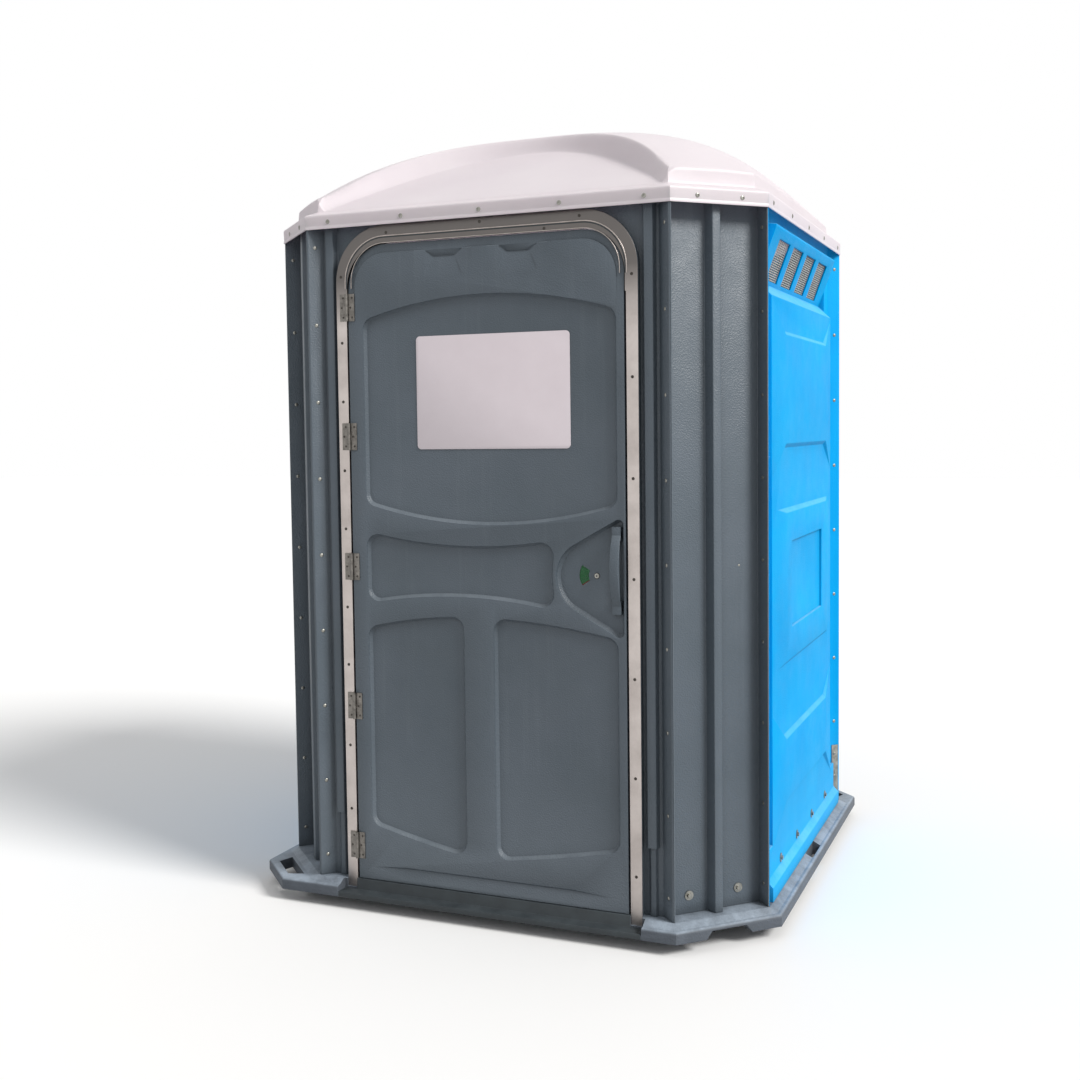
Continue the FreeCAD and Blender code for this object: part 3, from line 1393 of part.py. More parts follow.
TANK_FRONT = f"({TANK_BACK} - tank_depth)"
tank = new_body("waste_tank_body")
pad(tank, "tank_block", "XY", FLOOR_Z, f"{FLOOR_Z} + tank_height", [
    ("-tank_width / 2", TANK_FRONT), ("tank_width / 2", TANK_FRONT),
    ("tank_width / 2", TANK_BACK), ("-tank_width / 2", TANK_BACK)])
round_edges(tank, "tank_corners", runs_along(AXIS_Z), "tank_corner")
tank_space = new_body("waste_tank_space")
pad(tank_space, "tank_space_block", "XY", f"{FLOOR_Z} + tank_wall", f"{FLOOR_Z} + tank_height + 1", [
    ("-tank_width / 2 + tank_wall", f"{TANK_FRONT} + tank_wall"),
    ("tank_width / 2 - tank_wall", f"{TANK_FRONT} + tank_wall"),
    ("tank_width / 2 - tank_wall", f"{TANK_BACK} - tank_wall"),
    ("-tank_width / 2 + tank_wall", f"{TANK_BACK} - tank_wall")])
round_edges(tank_space, "tank_space_corners", runs_along(AXIS_Z), "tank_corner - tank_wall")
node(cut("waste_tank_hollow", tank, tank_space), "waste_tank")


def oval(half_width, half_depth, z_low, z_high, middle_y):
    """An upright oval prism; the longer half is the major one."""
    if half_depth >= half_width:
        curve = Part.Ellipse(Vector(0, middle_y + half_depth, z_low),
                             Vector(half_width, middle_y, z_low), Vector(0, middle_y, z_low))
    else:
        curve = Part.Ellipse(Vector(half_width, middle_y, z_low),
                             Vector(0, middle_y + half_depth, z_low), Vector(0, middle_y, z_low))
    face = Part.Face(Part.Wire(curve.toShape()))
    return face.extrude(Vector(0, 0, z_high - z_low))


def make_deck():
    half = num("tank_width") / 2
    low = num(f"{FLOOR_Z} + tank_height")
    plate = block(-half - 8, half + 8, num(TANK_FRONT) - 8, num(TANK_BACK), low, num(DECK_TOP))
    upright = [e for e in plate.Edges if runs_along(AXIS_Z)(e) and e.BoundBox.YMax < num(SEAT_Y)]
    plate = plate.makeFillet(num("tank_corner"), upright)
    hole = oval(num("seat_hole_half_width") - 4, num("seat_hole_half_depth") - 4,
                low - 1, low + 60, num(SEAT_Y))
    pipe_hole = Part.makeCylinder(num("pipe_radius - pipe_wall"), 60,
                                  Vector(num("pipe_offset"), PIPE_Y, low - 1))
    return plate.cut([hole, pipe_hole])


PIPE_Y = num(f"{INNER_Y} - pipe_setback")
feature("tank_deck", make_deck())


def make_seat():
    low = num(DECK_TOP)
    high = num(SEAT_TOP)
    ring = oval(num("seat_half_width"), num("seat_half_depth"), low, high, num(SEAT_Y))
    hole = oval(num("seat_hole_half_width"), num("seat_hole_half_depth"), low - 1, high + 1,
                num(SEAT_Y))
    ring = ring.cut(hole)
    crest = [e for e in ring.Edges if abs(e.BoundBox.ZMin - high) < 1e-4]
    return ring.makeChamfer(7, crest)


feature("seat_ring", make_seat())


def make_lid():
    low = num(f"{SEAT_TOP} + lid_play")
    high = low + num("lid_thickness")
    middle = num(SEAT_Y)
    cover = oval(num("seat_half_width") + 4, num("seat_half_depth") + 4, low, high, middle - 4)
    crest = [e for e in cover.Edges if abs(e.BoundBox.ZMin - high) < 1e-4]
    cover = cover.makeChamfer(6, crest)
    half = num("lid_post_spacing / 2 - lid_play")
    axis_y = num(LID_AXIS_Y)
    axis_z = num(LID_AXIS_Z)
    barrel = Part.makeCylinder(num("lid_lug_radius"), 2 * half, Vector(-half, axis_y, axis_z), AXIS_X)
    tongue = block(-half, half, middle + num("seat_half_depth") - 60, axis_y, low + 1, high - 1)
    bore = Part.makeCylinder(num("lid_pin_radius + lid_play"), 2 * half + 2,
                             Vector(-half - 1, axis_y, axis_z), AXIS_X)
    return cover.fuse([barrel, tongue]).cut(bore).removeSplitter()


feature("seat_lid", make_lid())

post_parts = []
for side in (-1, 1):
    inner_face = f"{side} * lid_post_spacing / 2"
    outer_face = f"{side} * (lid_post_spacing / 2 + lid_post_width)"
    span = (outer_face, inner_face) if side < 0 else (inner_face, outer_face)
    post_parts.append(box(f"lid_post_{'left' if side < 0 else 'right'}", span,
                          (f"{LID_AXIS_Y} - lid_lug_radius", f"{LID_AXIS_Y} + lid_lug_radius"),
                          (DECK_TOP, f"{LID_AXIS_Z} + lid_lug_radius")))
post_bore = cylinder("lid_post_bore", "x", "lid_pin_radius",
                     "lid_post_spacing + 2 * lid_post_width + 2",
                     "-lid_post_spacing / 2 - lid_post_width - 1", LID_AXIS_Y, LID_AXIS_Z)
node(cut("lid_hinge_posts_bored", fuse("lid_posts_pair", *post_parts), post_bore),
     "lid_hinge_posts")
node(cylinder("lid_pin_rod", "x", "lid_pin_radius", "lid_post_spacing + 2 * lid_post_width",
              "-lid_post_spacing / 2 - lid_post_width", LID_AXIS_Y, LID_AXIS_Z), "lid_hinge_pin")

# Vent pipe from the tank to under the roof, held by a clamp on the rear wall.

pipe_y = f"({INNER_Y} - pipe_setback)"
pipe_out = cylinder("pipe_outside", "z", "pipe_radius", f"base_height + pipe_top - {DECK_TOP}",
                    "pipe_offset", pipe_y, DECK_TOP)
pipe_in = cylinder("pipe_inside", "z", "pipe_radius - pipe_wall",
                   f"base_height + pipe_top - {DECK_TOP} + 2", "pipe_offset", pipe_y,
                   f"{DECK_TOP} - 1")
node(cut("vent_pipe_tube", pipe_out, pipe_in), "vent_pipe")

band = cylinder("clamp_ring", "z", "pipe_radius + 4", "clamp_band", "pipe_offset", pipe_y,
                "base_height + clamp_height")
arm = box("clamp_arm", ("pipe_offset - 18", "pipe_offset + 18"), (pipe_y, INNER_Y),
          ("base_height + clamp_height", "base_height + clamp_height + clamp_band"))
band_bore = cylinder("clamp_bore", "z", "pipe_radius", "clamp_band + 2", "pipe_offset", pipe_y,
                     "base_height + clamp_height - 1")
node(cut("pipe_clamp_cut", fuse("pipe_clamp_solid", band, arm), band_bore), "pipe_clamp")


def bent_tube(points, radius, bend):
    """A round bar along straight runs joined by arcs of one bend radius."""
    edges = []
    start = points[0]
    for here, corner, there in zip(points, points[1:], points[2:]):
        before = (corner - here).normalize()
        after = (there - corner).normalize()
        turn = before.getAngle(after)
        back = bend * math.tan(turn / 2)
        first = corner - before * back
        last = corner + after * back
        centre = corner + (after - before).normalize() * (bend / math.cos(turn / 2))
        middle = centre + (corner - centre).normalize() * bend
        edges.append(Part.LineSegment(start, first).toShape())
        edges.append(Part.Arc(first, middle, last).toShape())
        start = last
    edges.append(Part.LineSegment(start, points[-1]).toShape())
    path = Part.Wire(edges)
    heading = (points[1] - points[0]).normalize()
    ring = Part.Wire(Part.makeCircle(radius, points[0], heading))
    return path.makePipeShell([ring], True, False)


def make_side_rail():
    wall = num(INNER_X)
    x = wall - num("rail_reach")
    z = num("base_height + side_rail_height")
    y0 = -num(f"{SIDE_TIP} - side_rail_setback")
    y1 = y0 + num("side_rail_length")
    return make_rail([Vector(wall, y0, z), Vector(x, y0, z), Vector(x, y1, z),
                      Vector(wall, y1, z)], Vector(-1, 0, 0))


def make_rear_rail():
    wall = num(INNER_Y)
    y = wall - num("rail_reach")
    z = num("base_height + rear_rail_height")
    x0 = num("rear_rail_centre - rear_rail_length / 2")
    x1 = x0 + num("rear_rail_length")
    return make_rail([Vector(x0, wall, z), Vector(x0, y, z), Vector(x1, y, z),
                      Vector(x1, wall, z)], Vector(0, -1, 0))


def make_rail(points, out):
    """A round bar turned back to the wall at both ends, on round flanges."""
    tube = bent_tube(points, num("rail_radius"), num("rail_bend"))
    plates = [Part.makeCylinder(num("rail_flange_radius"), num("rail_flange_thickness"), spot, out)
              for spot in (points[0], points[-1])]
    return tube.fuse(plates).removeSplitter()


feature("grab_rail_side", make_side_rail())
feature("grab_rail_rear", make_rear_rail())

# Urinal on the left wall, drained through a pipe into the side of the tank.


def make_urinal():
    wall = -num(INNER_X)
    skin = num("urinal_wall")
    low = num("base_height + urinal_low")
    high = num("base_height + urinal_high")
    reach = num("urinal_reach")
    foot = num("urinal_foot")
    half = num("urinal_width") / 2
    middle = num("urinal_centre")
    lip = low + (high - low) * 0.62
    outside = [(wall, low), (wall + foot, low), (wall + reach, lip - 40),
               (wall + reach, lip), (wall + 24, high), (wall, high)]
    inside = [(wall + skin, low + skin), (wall + foot - 3, low + skin),
              (wall + reach - skin, lip - 38), (wall + reach - skin, lip + 60),
              (wall + 24, high + 60), (wall + skin, high - skin * 2)]
    body = prism([Vector(x, middle - half, z) for x, z in outside], Vector(0, 2 * half, 0))
    bowl = prism([Vector(x, middle - half + skin, z) for x, z in inside],
                 Vector(0, 2 * half - 2 * skin, 0))
    drain = Part.makeCylinder(num("drain_radius") - 3, skin * 3,
                              Vector(wall + foot / 2, middle, low - 1), AXIS_Z)
    return body.cut([bowl, drain])


feature("urinal", make_urinal())


def make_drain():
    x0 = -num(INNER_X) + num("urinal_foot") / 2
    y0 = num("urinal_centre")
    top = num("base_height + urinal_low")
    z = num("base_height + drain_height")
    entry = num(f"{TANK_FRONT} + drain_entry")
    points = [Vector(x0, y0, top), Vector(x0, y0, z), Vector(x0, entry, z),
              Vector(-num("tank_width") / 2, entry, z)]
    return bent_tube(points, num("drain_radius"), num("drain_bend"))


feature("urinal_drain", make_drain())

# Paper holder on the right wall: a plate with two arms, a rod, and two rolls.

ROD_X = f"({INNER_X} - holder_plate - roll_wall_gap - roll_radius)"
ROD_Z = "(base_height + roll_height)"
ROLLS_Y = "roll_front"
SPAN = "(2 * roll_width + 3 * roll_play)"
holder_back = box("holder_back", (f"{INNER_X} - holder_plate", INNER_X),
                  (f"{ROLLS_Y} - holder_plate", f"{ROLLS_Y} + {SPAN} + holder_plate"),
                  (f"{ROD_Z} - 40", f"{ROD_Z} + 40"))
holder_arms = [box(f"holder_arm_{name}", (f"{ROD_X} - rod_radius - 8", f"{INNER_X} - 1"),
                   (low, f"{low} + holder_plate"), (f"{ROD_Z} - 28", f"{ROD_Z} + 28"))
               for name, low in (("front", f"({ROLLS_Y} - holder_plate)"),
                                 ("back", f"({ROLLS_Y} + {SPAN})"))]
arm_bore = cylinder("holder_bore", "y", "rod_radius", f"{SPAN} + 4 * holder_plate", ROD_X,
                    f"{ROLLS_Y} - 2 * holder_plate", ROD_Z)
node(cut("paper_holder_bored", fuse("paper_holder_solid", holder_back, *holder_arms), arm_bore),
     "paper_holder")
node(cylinder("paper_rod_bar", "y", "rod_radius", f"{SPAN} + 2 * holder_plate", ROD_X,
              f"{ROLLS_Y} - holder_plate", ROD_Z), "paper_rod")
for label, start in (("paper_roll_front", f"{ROLLS_Y} + roll_play"),
                     ("paper_roll_back", f"{ROLLS_Y} + 2 * roll_play + roll_width")):
    roll = new_body(label)
    pad(roll, label + "_paper", "XZ", start, f"{start} + roll_width",
        circle=(ROD_X, ROD_Z, "roll_radius"), holes=[(ROD_X, ROD_Z, "roll_core")])
    node(roll, label)


def make_hook():
    """A coat hook: a screwed plate and an upturned peg."""
    wall = -num(INNER_X)
    z = num("base_height + hook_height")
    y = -num(f"{SIDE_TIP} - hook_setback")
    reach = num("hook_reach")
    plate = block(wall, wall + 4, y - 14, y + 14, z - 30, z + 30)
    peg = bent_tube([Vector(wall + 3, y, z - 8), Vector(wall + reach, y, z - 8),
                     Vector(wall + reach, y, z + 26)], 5, 12)
    return plate.fuse(peg)


feature("coat_hook", make_hook())


def make_brackets():
    """Steel straps that tie the rear flanges of the side walls to the base."""
    found = []
    low = num("base_height")
    high = low + num("bracket_height")
    thick = num("bracket_thickness")
    width = num("bracket_width")
    for side in (-1, 1):
        x = side * num(HALF_W)
        y = num(SIDE_TIP)
        inner = Vector(x, y, 0)
        back = Vector(-side, -1, 0).normalize()
        across = Vector(-side, 1, 0).normalize() * -thick
        a = inner + back * (width + 4)
        points = [inner + back * 4, a, a + across, inner + back * 4 + across]
        shift = Vector(0, -num("flange_width"), 0)
        found.append(slab([((p + shift).x, (p + shift).y) for p in points], low, high))
    return Part.makeCompound(found)


feature("rear_brackets", make_brackets())

doc.recompute()

faults = [thing.Label for thing in doc.Objects
          if "Invalid" in thing.State or "Error" in thing.State]
for label, thing in nodes.items():
    if thing.Shape.isNull() or not thing.Shape.isValid() or not thing.Shape.Solids:
        faults.append(label)
if faults:
    raise SystemExit(f"faulty objects: {sorted(set(faults))}")

os.makedirs("parts", exist_ok=True)
for label, thing in nodes.items():
    thing.Shape.exportStep(f"parts/{label}.step")
    print(f"{label}: {len(thing.Shape.Solids)} solid(s), {thing.Shape.Volume / 1000:.1f} cm3")
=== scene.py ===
import json
import math
import bmesh
import bpy
from mathutils import Matrix, Vector

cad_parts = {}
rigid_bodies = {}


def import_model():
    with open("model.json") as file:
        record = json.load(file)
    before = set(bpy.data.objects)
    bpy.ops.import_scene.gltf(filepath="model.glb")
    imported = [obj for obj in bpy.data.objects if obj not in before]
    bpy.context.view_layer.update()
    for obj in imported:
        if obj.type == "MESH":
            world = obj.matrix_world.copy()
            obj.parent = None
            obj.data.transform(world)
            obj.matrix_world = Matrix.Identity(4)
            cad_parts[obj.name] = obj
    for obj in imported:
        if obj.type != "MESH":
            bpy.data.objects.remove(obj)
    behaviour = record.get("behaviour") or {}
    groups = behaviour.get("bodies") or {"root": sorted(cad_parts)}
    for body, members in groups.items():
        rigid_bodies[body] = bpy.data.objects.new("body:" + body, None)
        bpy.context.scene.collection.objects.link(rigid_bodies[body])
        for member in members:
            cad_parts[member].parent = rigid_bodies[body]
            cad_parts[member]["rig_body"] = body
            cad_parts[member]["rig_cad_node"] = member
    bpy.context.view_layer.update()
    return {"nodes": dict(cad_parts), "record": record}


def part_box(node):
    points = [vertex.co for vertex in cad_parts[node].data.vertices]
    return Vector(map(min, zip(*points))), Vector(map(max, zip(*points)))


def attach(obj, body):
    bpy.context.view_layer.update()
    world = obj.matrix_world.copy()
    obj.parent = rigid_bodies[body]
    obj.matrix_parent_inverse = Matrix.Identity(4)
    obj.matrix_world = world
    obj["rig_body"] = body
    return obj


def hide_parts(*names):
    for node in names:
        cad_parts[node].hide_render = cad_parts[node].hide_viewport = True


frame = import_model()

nodes = frame["nodes"]
print("frame loaded:", len(nodes), "nodes")

# vertices this close merge (millimetres), faces this flat join, shading runs smooth up to these
# angles (degrees)
meshing = {"merge": 0.02, "flat": 0.6, "smooth": 40, "cadSmooth": 30}


def mm(value):
    return value / 1000


def point(x, y, z):
    # a place given in millimetres
    return mm(x), mm(y), mm(z)


def deselectAll():
    bpy.ops.object.select_all(action="DESELECT")


def choose(*pieces):
    deselectAll()
    for piece in pieces:
        piece.select_set(True)
    bpy.context.view_layer.objects.active = pieces[0]


def selectWhere(piece, kind, test):
    # picks edges or faces in edit mode by a test on each of them
    choose(piece)
    bpy.ops.object.mode_set(mode="EDIT")
    bpy.ops.mesh.select_mode(type={"edges": "EDGE", "faces": "FACE"}[kind])
    bpy.ops.mesh.select_all(action="DESELECT")
    mesh = bmesh.from_edit_mesh(piece.data)
    mesh.normal_update()
    count = 0
    for part in getattr(mesh, kind):
        if test(part):
            part.select_set(True)
            count += 1
    mesh.select_flush_mode()
    bmesh.update_edit_mesh(piece.data)
    return count


def leaveEdit():
    bpy.ops.object.mode_set(mode="OBJECT")


def middleOf(edge):
    return (edge.verts[0].co + edge.verts[1].co) / 2


def roundEdges(piece, width, segments, sharpness, where=None):
    # bevels the edges that turn by more than an angle, all of them or those where a test holds
    def sharp(edge):
        return (len(edge.link_faces) == 2 and edge.calc_face_angle(0) > math.radians(sharpness)
                and (where is None or where(middleOf(edge))))
    if selectWhere(piece, "edges", sharp):
        bpy.ops.mesh.bevel(offset=mm(width), segments=segments, affect="EDGES",
                           clamp_overlap=True, profile=0.5)
    leaveEdit()


def finishMesh(piece, smoothAngle=meshing["smooth"]):
    # place goes into the mesh, then smooth shading up to an angle
    choose(piece)
    bpy.ops.object.transform_apply(location=True, rotation=True, scale=True)
    bpy.ops.object.shade_smooth_by_angle(angle=math.radians(smoothAngle))


def copyOfNode(node, name):
    # a free copy of a solid, its triangles joined back into flat faces
    source = nodes[node]
    piece = source.copy()
    piece.data = source.data.copy()
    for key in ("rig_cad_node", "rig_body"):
        if key in piece:
            del piece[key]
    piece.parent = None
    piece.name = name
    piece.data.name = name
    bpy.context.scene.collection.objects.link(piece)
    choose(piece)
    bpy.ops.object.mode_set(mode="EDIT")
    bpy.ops.mesh.select_all(action="SELECT")
    bpy.ops.mesh.remove_doubles(threshold=mm(meshing["merge"]))
    bpy.ops.mesh.dissolve_limited(angle_limit=math.radians(meshing["flat"]))
    leaveEdit()
    return piece


def fitted(piece, body, slotName, material, *replaced):
    piece.data.materials.clear()
    piece.data.materials.append(material)
    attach(piece, body)
    if replaced:
        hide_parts(*replaced)


def dressNode(node, name, body, slotName, material, *rounds):
    # a copy with rounded edges takes the solid's place; each round is a width in millimetres,
    # its segments, the least angle and, where only some edges count, a test of their place
    piece = copyOfNode(node, name)
    for values in rounds:
        roundEdges(piece, *values)
    finishMesh(piece)
    fitted(piece, body, slotName, material, node)


def repeatAlong(piece, count, step):
    # a row of copies, each one a step further on
    copies = piece.modifiers.new("copies", "ARRAY")
    copies.use_relative_offset = False
    copies.use_constant_offset = True
    copies.count = count
    copies.constant_offset_displace = step
    choose(piece)
    bpy.ops.object.modifier_apply(modifier=copies.name)


def layCopies(pattern, name, places):
    # each place is a point and the way the piece faces
    twins = []
    for middle, facing in places:
        twin = pattern.copy()
        twin.data = pattern.data.copy()
        bpy.context.scene.collection.objects.link(twin)
        turn = Vector(facing).normalized().to_track_quat("Z", "Y").to_matrix().to_4x4()
        twin.matrix_world = Matrix.Translation(Vector(middle)) @ turn
        twins.append(twin)
    choose(*twins)
    bpy.ops.object.transform_apply(location=True, rotation=True, scale=True)
    if len(twins) > 1:
        bpy.ops.object.join()
    joined = bpy.context.view_layer.objects.active
    joined.name = name
    joined.data.name = name
    return joined


def linear(hexText):
    # screen colour to the linear colour that shaders use
    parts = [int(hexText[i:i + 2], 16) / 255 for i in (1, 3, 5)]
    return tuple(p / 12.92 if p <= 0.04045 else ((p + 0.055) / 1.055) ** 2.4 for p in parts) + (1,)


def addNode(tree, kind, settings=None, links=None):
    # settings name a ramp's stops, an input by name or number, or a property of the node
    node = tree.nodes.new("ShaderNode" + kind)
    for key, value in (settings or {}).items():
        if key == "stops":
            ramp = node.color_ramp.elements
            while len(ramp) < len(value):
                ramp.new(0.5)
            for stop, (place, colour) in zip(ramp, value):
                stop.position = place
                stop.color = colour
        elif isinstance(key, int) or key in node.inputs:
            node.inputs[key].default_value = value
        else:
            setattr(node, key, value)
    for key, source in (links or {}).items():
        tree.links.new(source, node.inputs[key])
    return node


def newMaterial(name):
    material = bpy.data.materials.new(name)
    material.use_nodes = True
    tree = material.node_tree
    tree.nodes.clear()
    shader = addNode(tree, "BsdfPrincipled")
    output = addNode(tree, "OutputMaterial", None, {"Surface": shader.outputs[0]})
    place = addNode(tree, "TexCoord")
    return material, tree, shader, place.outputs["Object"], output


def twoTone(tree, values, low, source):
    # clouds of two tones that blend over the middle of a noise
    return addNode(tree, "ValToRGB", {"stops": [(low, linear(values["deep"])),
                                                (1 - low, linear(values["colour"]))]},
                   {"Fac": source.outputs[0]})


def mouldedPlastic(name, values):
    # thick moulded polyethylene: a fine pebble from the tool, slow waves from cooling, faint
    # rain marks, small scuffs, dust that gathers near the ground, upward faces lighter as dust and
    # as painted light from above, and painted shade in the creases
    material, tree, shader, place, _ = newMaterial(name)
    cloud = addNode(tree, "TexNoise", {"Scale": 3.1, "Detail": 5, "Roughness": 0.62},
                    {"Vector": place})
    tone = twoTone(tree, values, 0.3, cloud)
    tall = addNode(tree, "Mapping", {"Scale": (34, 34, 1.3)}, {"Vector": place})
    streak = addNode(tree, "TexNoise", {"Scale": 1, "Detail": 4, "Roughness": 0.7},
                     {"Vector": tall.outputs[0]})
    run = addNode(tree, "MapRange", {"From Min": 0.55, "From Max": 0.8, "To Min": 0,
                                     "To Max": values["streaks"]}, {"Value": streak.outputs[0]})
    scuffMap = addNode(tree, "Mapping", {"Scale": (60, 60, 25), "Rotation": (0.3, 0.5, 0.2)},
                       {"Vector": place})
    scuff = addNode(tree, "TexNoise", {"Scale": 1, "Detail": 6, "Roughness": 0.75},
                    {"Vector": scuffMap.outputs[0]})
    mark = addNode(tree, "MapRange", {"From Min": 0.7, "From Max": 0.76, "To Min": 0,
                                      "To Max": values["scuffs"]}, {"Value": scuff.outputs[0]})
    split = addNode(tree, "SeparateXYZ", None, {0: place})
    low = addNode(tree, "MapRange", {"From Min": values["dustTop"], "From Max": 0.05, "To Min": 0,
                                     "To Max": values["dustShare"]}, {"Value": split.outputs[2]})
    patch = addNode(tree, "TexNoise", {"Scale": 11, "Detail": 6, "Roughness": 0.7},
                    {"Vector": place})
    spread = addNode(tree, "Math", {"operation": "MULTIPLY"},
                     {0: low.outputs[0], 1: patch.outputs[0]})
    # upward faces are painted lighter in the dust colour: partly dust that lies there, partly painted
    # light from above
    surface = addNode(tree, "NewGeometry")
    facing = addNode(tree, "SeparateXYZ", None, {0: surface.outputs["Normal"]})
    lying = addNode(tree, "MapRange", {"From Min": 0.3, "From Max": 0.9, "To Min": 0,
                                       "To Max": values["ledgeDustAndTopLight"]}, {"Value": facing.outputs[2]})
    ledgePatches = addNode(tree, "MapRange", {"From Min": 0.3, "From Max": 0.6, "To Min": 0.35,
                                         "To Max": 1}, {"Value": patch.outputs[0]})
    ledge = addNode(tree, "Math", {"operation": "MULTIPLY"},
                    {0: lying.outputs[0], 1: ledgePatches.outputs[0]})
    dirtAndTopLight = addNode(tree, "Math", {"operation": "MAXIMUM"}, {0: run.outputs[0], 1: mark.outputs[0]})
    dirtAndTopLight = addNode(tree, "Math", {"operation": "MAXIMUM"}, {0: dirtAndTopLight.outputs[0], 1: spread.outputs[0]})
    dirtAndTopLight = addNode(tree, "Math", {"operation": "MAXIMUM"}, {0: dirtAndTopLight.outputs[0], 1: ledge.outputs[0]})
    dustyAndLit = addNode(tree, "Mix", {"data_type": "RGBA", 7: linear(values["dustAndTopLight"])},
                    {0: dirtAndTopLight.outputs[0], 6: tone.outputs[0]})
    # painted shade: ambient occlusion darkens the colour in creases and recesses, where shade falls
    crease = addNode(tree, "AmbientOcclusion", {"samples": 6, "Distance": 0.035})
    creaseShadeFactor = addNode(tree, "MapRange", {"From Min": 0.55, "From Max": 0.95,
                                        "To Min": values["creaseShade"], "To Max": 1},
                     {"Value": crease.outputs["AO"]})
    shaded = addNode(tree, "VectorMath", {"operation": "SCALE"},
                     {0: dustyAndLit.outputs[2], "Scale": creaseShadeFactor.outputs[0]})
    tree.links.new(shaded.outputs[0], shader.inputs["Base Color"])
    # pebbles of 2 to 4 mm, coarser than the real ones of 1 mm so that they show
    pebble = addNode(tree, "TexVoronoi", {"Scale": values["grain"], "feature": "SMOOTH_F1",
                                          "Smoothness": 0.6}, {"Vector": place})
    wave = addNode(tree, "TexNoise", {"Scale": 7.5, "Detail": 2, "Roughness": 0.4},
                   {"Vector": place})
    slow = addNode(tree, "Bump", {"Strength": values["wave"], "Distance": 0.012},
                   {"Height": wave.outputs[0]})
    fine = addNode(tree, "Bump", {"Strength": values["pebble"], "Distance": 0.001},
                   {"Height": pebble.outputs[0], "Normal": slow.outputs[0]})
    tree.links.new(fine.outputs[0], shader.inputs["Normal"])
    sheen = addNode(tree, "MapRange", {"From Min": 0.3, "From Max": 0.75,
                                       "To Min": values["rough"] - 0.06,
                                       "To Max": values["rough"] + 0.1}, {"Value": patch.outputs[0]})
    tree.links.new(sheen.outputs[0], shader.inputs["Roughness"])
    shader.inputs["IOR"].default_value = 1.5
    shader.inputs["Specular IOR Level"].default_value = values["gloss"]
    return material


# in each of these the dust colour also paints upward faces lighter as painted light from above, and
# the crease value sets how dark the painted shade gets in the deepest creases
greyPlastic = mouldedPlastic("grey_textured_polyethylene", {
    "colour": "#5f6973", "deep": "#556069", "dustAndTopLight": "#a3abb2", "streaks": 0.08, "scuffs": 0.45,
    "dustTop": 0.5, "dustShare": 0.22, "ledgeDustAndTopLight": 0.35, "grain": 270, "pebble": 0.75,
    "wave": 0.22, "rough": 0.45, "gloss": 0.5, "creaseShade": 0.62})
bluePlastic = mouldedPlastic("blue_textured_polyethylene", {
    "colour": "#00b0f2", "deep": "#00a2ea", "dustAndTopLight": "#b8f0ff", "streaks": 0.02, "scuffs": 0.6,
    "dustTop": 0.4, "dustShare": 0.12, "ledgeDustAndTopLight": 0.4, "grain": 270, "pebble": 0.7,
    "wave": 0.2, "rough": 0.56, "gloss": 0.09, "creaseShade": 0.62})
basePlastic = mouldedPlastic("worn_recycled_polyethylene", {
    "colour": "#50555d", "deep": "#3d4148", "dustAndTopLight": "#a9b6c4", "streaks": 0.22, "scuffs": 0.6,
    "dustTop": 0.12, "dustShare": 0.3, "ledgeDustAndTopLight": 0.8, "grain": 230, "pebble": 0.8,
    "wave": 0.4, "rough": 0.6, "gloss": 0.35, "creaseShade": 0.62})
tankPlastic = mouldedPlastic("dark_tank_polyethylene", {
    "colour": "#3c4044", "deep": "#33373b", "dustAndTopLight": "#6e7275", "streaks": 0.1, "scuffs": 0.4,
    "dustTop": 0.3, "dustShare": 0.2, "ledgeDustAndTopLight": 0.15, "grain": 420, "pebble": 0.35,
    "wave": 0.2, "rough": 0.42, "gloss": 0.5, "creaseShade": 0.62})
urinalPlastic = mouldedPlastic("light_grey_urinal_polyethylene", {
    "colour": "#8d9396", "deep": "#82888c", "dustAndTopLight": "#a5a9aa", "streaks": 0.1, "scuffs": 0.3,
    "dustTop": 0.3, "dustShare": 0.2, "ledgeDustAndTopLight": 0.1, "grain": 500, "pebble": 0.2,
    "wave": 0.15, "rough": 0.35, "gloss": 0.5, "creaseShade": 0.62})


def roofSheet():
    # thermoformed milky sheet: lets daylight through, slightly pink white, faintly clouded
    material, tree, shader, place, output = newMaterial("milky_translucent_polyethylene")
    cloud = addNode(tree, "TexNoise", {"Scale": 2.4, "Detail": 6, "Roughness": 0.6},
                    {"Vector": place})
    tone = twoTone(tree, {"deep": "#f2ebf0", "colour": "#faf5f8"}, 0.3, cloud)
    tree.links.new(tone.outputs[0], shader.inputs["Base Color"])
    shader.inputs["Roughness"].default_value = 0.36
    shader.inputs["IOR"].default_value = 1.5
    grain = addNode(tree, "TexNoise", {"Scale": 260, "Detail": 2}, {"Vector": place})
    wave = addNode(tree, "TexNoise", {"Scale": 5, "Detail": 2}, {"Vector": place})
    slow = addNode(tree, "Bump", {"Strength": 0.18, "Distance": 0.012}, {"Height": wave.outputs[0]})
    fine = addNode(tree, "Bump", {"Strength": 0.12, "Distance": 0.0005},
                   {"Height": grain.outputs[0], "Normal": slow.outputs[0]})
    tree.links.new(fine.outputs[0], shader.inputs["Normal"])
    through = addNode(tree, "BsdfTranslucent", {"Color": linear("#f2e9ec")},
                      {"Normal": slow.outputs[0]})
    both = addNode(tree, "MixShader", {0: 0.34}, {1: shader.outputs[0], 2: through.outputs[0]})
    tree.links.new(both.outputs[0], output.inputs["Surface"])
    return material


roofPlastic = roofSheet()


